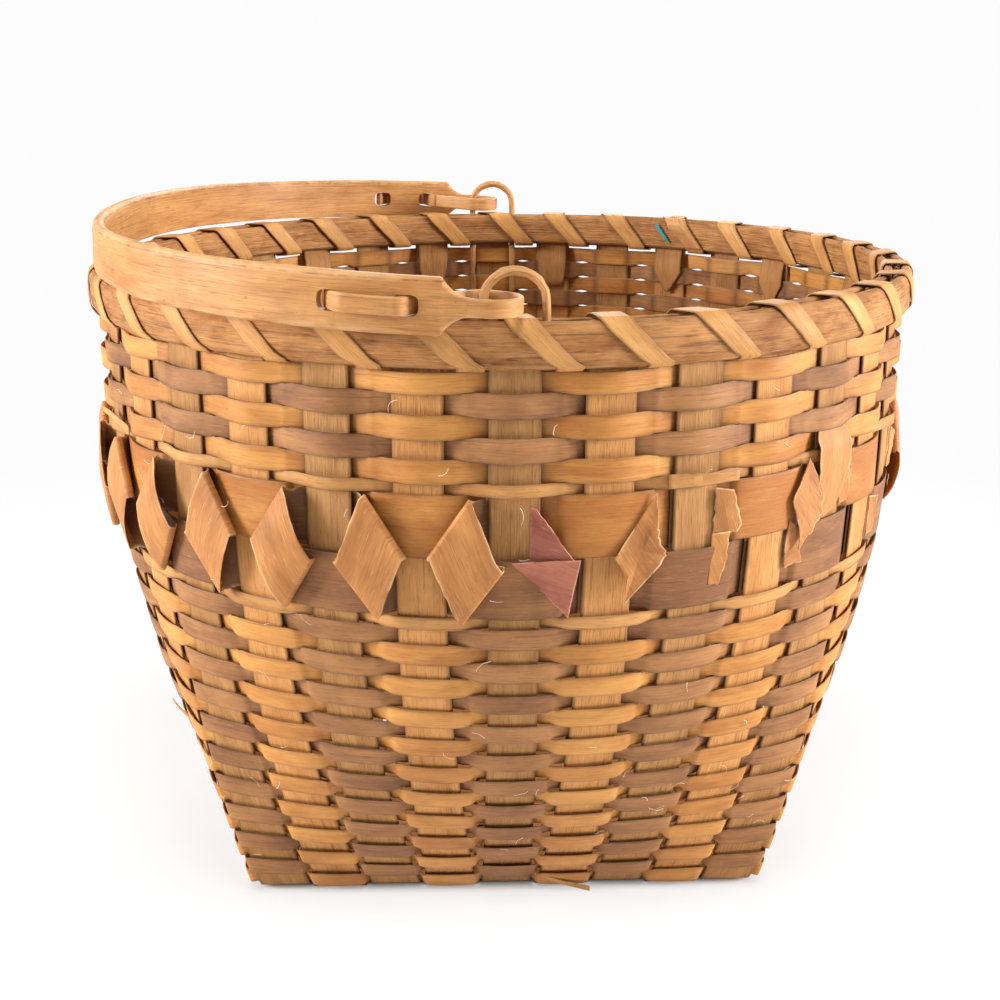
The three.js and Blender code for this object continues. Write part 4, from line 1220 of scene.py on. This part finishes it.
def extra_wrap():
    """A second turn of lashing beside the scrap, where the binding was started."""
    build = Build(103)
    outside = OUTER_INSIDE + OUTER_THICK
    over = RIM_TOP + LAYER_GAP + 0.9
    places = ((0.05, outside + 1.2, RIM_TOP - 10), (0.02, outside + 0.9, RIM_TOP - 3),
              (0.01, OUTER_INSIDE + 2.5, over), (0, INNER_INSIDE + 2.5, over),
              (0, INNER_INSIDE - 1.3, RIM_TOP - 3), (-0.04, INNER_INSIDE - 1.5, RIM_TOP - 9),
              (-0.08, INNER_INSIDE - 1.4, RIM_TOP - 15.5))
    rows = [rim_station(math.pi - 0.62 + turn, radius, height, 9.0)
            for turn, radius, height in places]
    ribbon(build, rows, 0.6, 4, 0.3, 104)
    build.piece("lashing_start", "lashing_splint")


extra_wrap()


# Floor, light and camera

# Share of the floor's own white where it is seen, near the basket, the rest taking its shadow
FLOOR_WHITE = 0.7
FLOOR_NEAR, FLOOR_FAR = 0.25, 0.8
FLOOR_HALF = 6
WORLD_LIGHT, WORLD_SEEN = 0.27, 0.975


def seen_directly(n):
    path = n.add("LightPath")
    return n.math("MAXIMUM", path.outputs["Is Camera Ray"],
                  n.math("MAXIMUM", path.outputs["Is Glossy Ray"],
                         path.outputs["Is Transmission Ray"]))


n = Nodes(bpy.data.materials.new("floor"))
matt = n.add("BsdfDiffuse", {"Color": (0.86, 0.86, 0.86, 1)})
white = n.add("Emission", {"Color": (0.975, 0.975, 0.975, 1), "Strength": 1.0})
place = n.add("TexCoord").outputs["Object"]
away = n.add("VectorMath", {0: place}, operation="LENGTH").outputs["Value"]
far = n.scale(away, FLOOR_NEAR, FLOOR_FAR, FLOOR_WHITE, 1.0)
flat = n.add("SeparateXYZ", {0: place})
beside = [n.math("DIVIDE", n.math("ABSOLUTE", flat.outputs[axis]), half * MM)
          for axis, half in ((0, HALF_LONG), (1, HALF_DEEP))]
under = n.scale(n.math("MAXIMUM", *beside), 0.94, 1.05, 0.0, 1.0)
share = n.math("MULTIPLY", seen_directly(n), n.math("MULTIPLY", far, under))
both = n.add("MixShader", {0: share, 1: matt.outputs[0], 2: white.outputs[0]})
mesh = bpy.data.meshes.new("floor")
mesh.from_pydata([(x * FLOOR_HALF, y * FLOOR_HALF, 0) for x, y in ((-1, -1), (1, -1), (1, 1), (-1, 1))],
                 [], [(0, 1, 2, 3)])
mesh.materials.append(n.finish("OutputMaterial", both.outputs[0]))
floor = bpy.data.objects.new("floor", mesh)
bpy.context.scene.collection.objects.link(floor)

n = Nodes(bpy.data.worlds.new("studio"))
dim, bright = (n.add("Background", {"Color": (1, 1, 1, 1), "Strength": level}).outputs[0]
               for level in (WORLD_LIGHT, WORLD_SEEN))
both = n.add("MixShader", {0: seen_directly(n), 1: dim, 2: bright})
bpy.context.scene.world = n.finish("OutputWorld", both.outputs[0])


def lamp(name, place, aim, size, watts):
    data = bpy.data.lights.new(name, "AREA")
    data.shape = "DISK"
    data.size = size
    data.energy = watts
    made = bpy.data.objects.new(name, data)
    made.location = place
    made.rotation_mode = "QUATERNION"
    made.rotation_quaternion = (Vector(aim) - Vector(place)).to_track_quat("-Z", "Y")
    bpy.context.scene.collection.objects.link(made)


lamp("left", (-1.9, -0.42, 0.75), (0, 0, 0.15), 0.7, 53)
lamp("right", (1.9, -0.38, 0.65), (0, 0, 0.15), 0.7, 60)
lamp("top", (0.0, -0.8, 2.3), (0, 0, 0.2), 0.6, 23)
lamp("rear", (0.2, 2.0, 1.3), (0, 0, 0.2), 1.2, 18)

camera_data = bpy.data.cameras.new("camera")
camera_data.sensor_width = 36.0
camera_data.lens = 1536 * 36.0 / 1000
camera = bpy.data.objects.new("camera", camera_data)
AZIMUTH = math.radians(-1.6)
DISTANCE = 4.0 * RIM_RADIUS
CAMERA_HEIGHT = RIM_TOP + 0.511 * RIM_RADIUS
PITCH_DOWN = math.radians(16.38)
YAW = math.radians(0.03)
camera.location = (DISTANCE * MM * math.sin(AZIMUTH), -DISTANCE * MM * math.cos(AZIMUTH),
                   CAMERA_HEIGHT * MM)
camera.rotation_mode = "XYZ"
camera.rotation_euler = (math.pi / 2 - PITCH_DOWN, 0, AZIMUTH + YAW)
bpy.context.scene.collection.objects.link(camera)
bpy.context.scene.camera = camera
bpy.context.scene.view_settings.view_transform = "Standard"
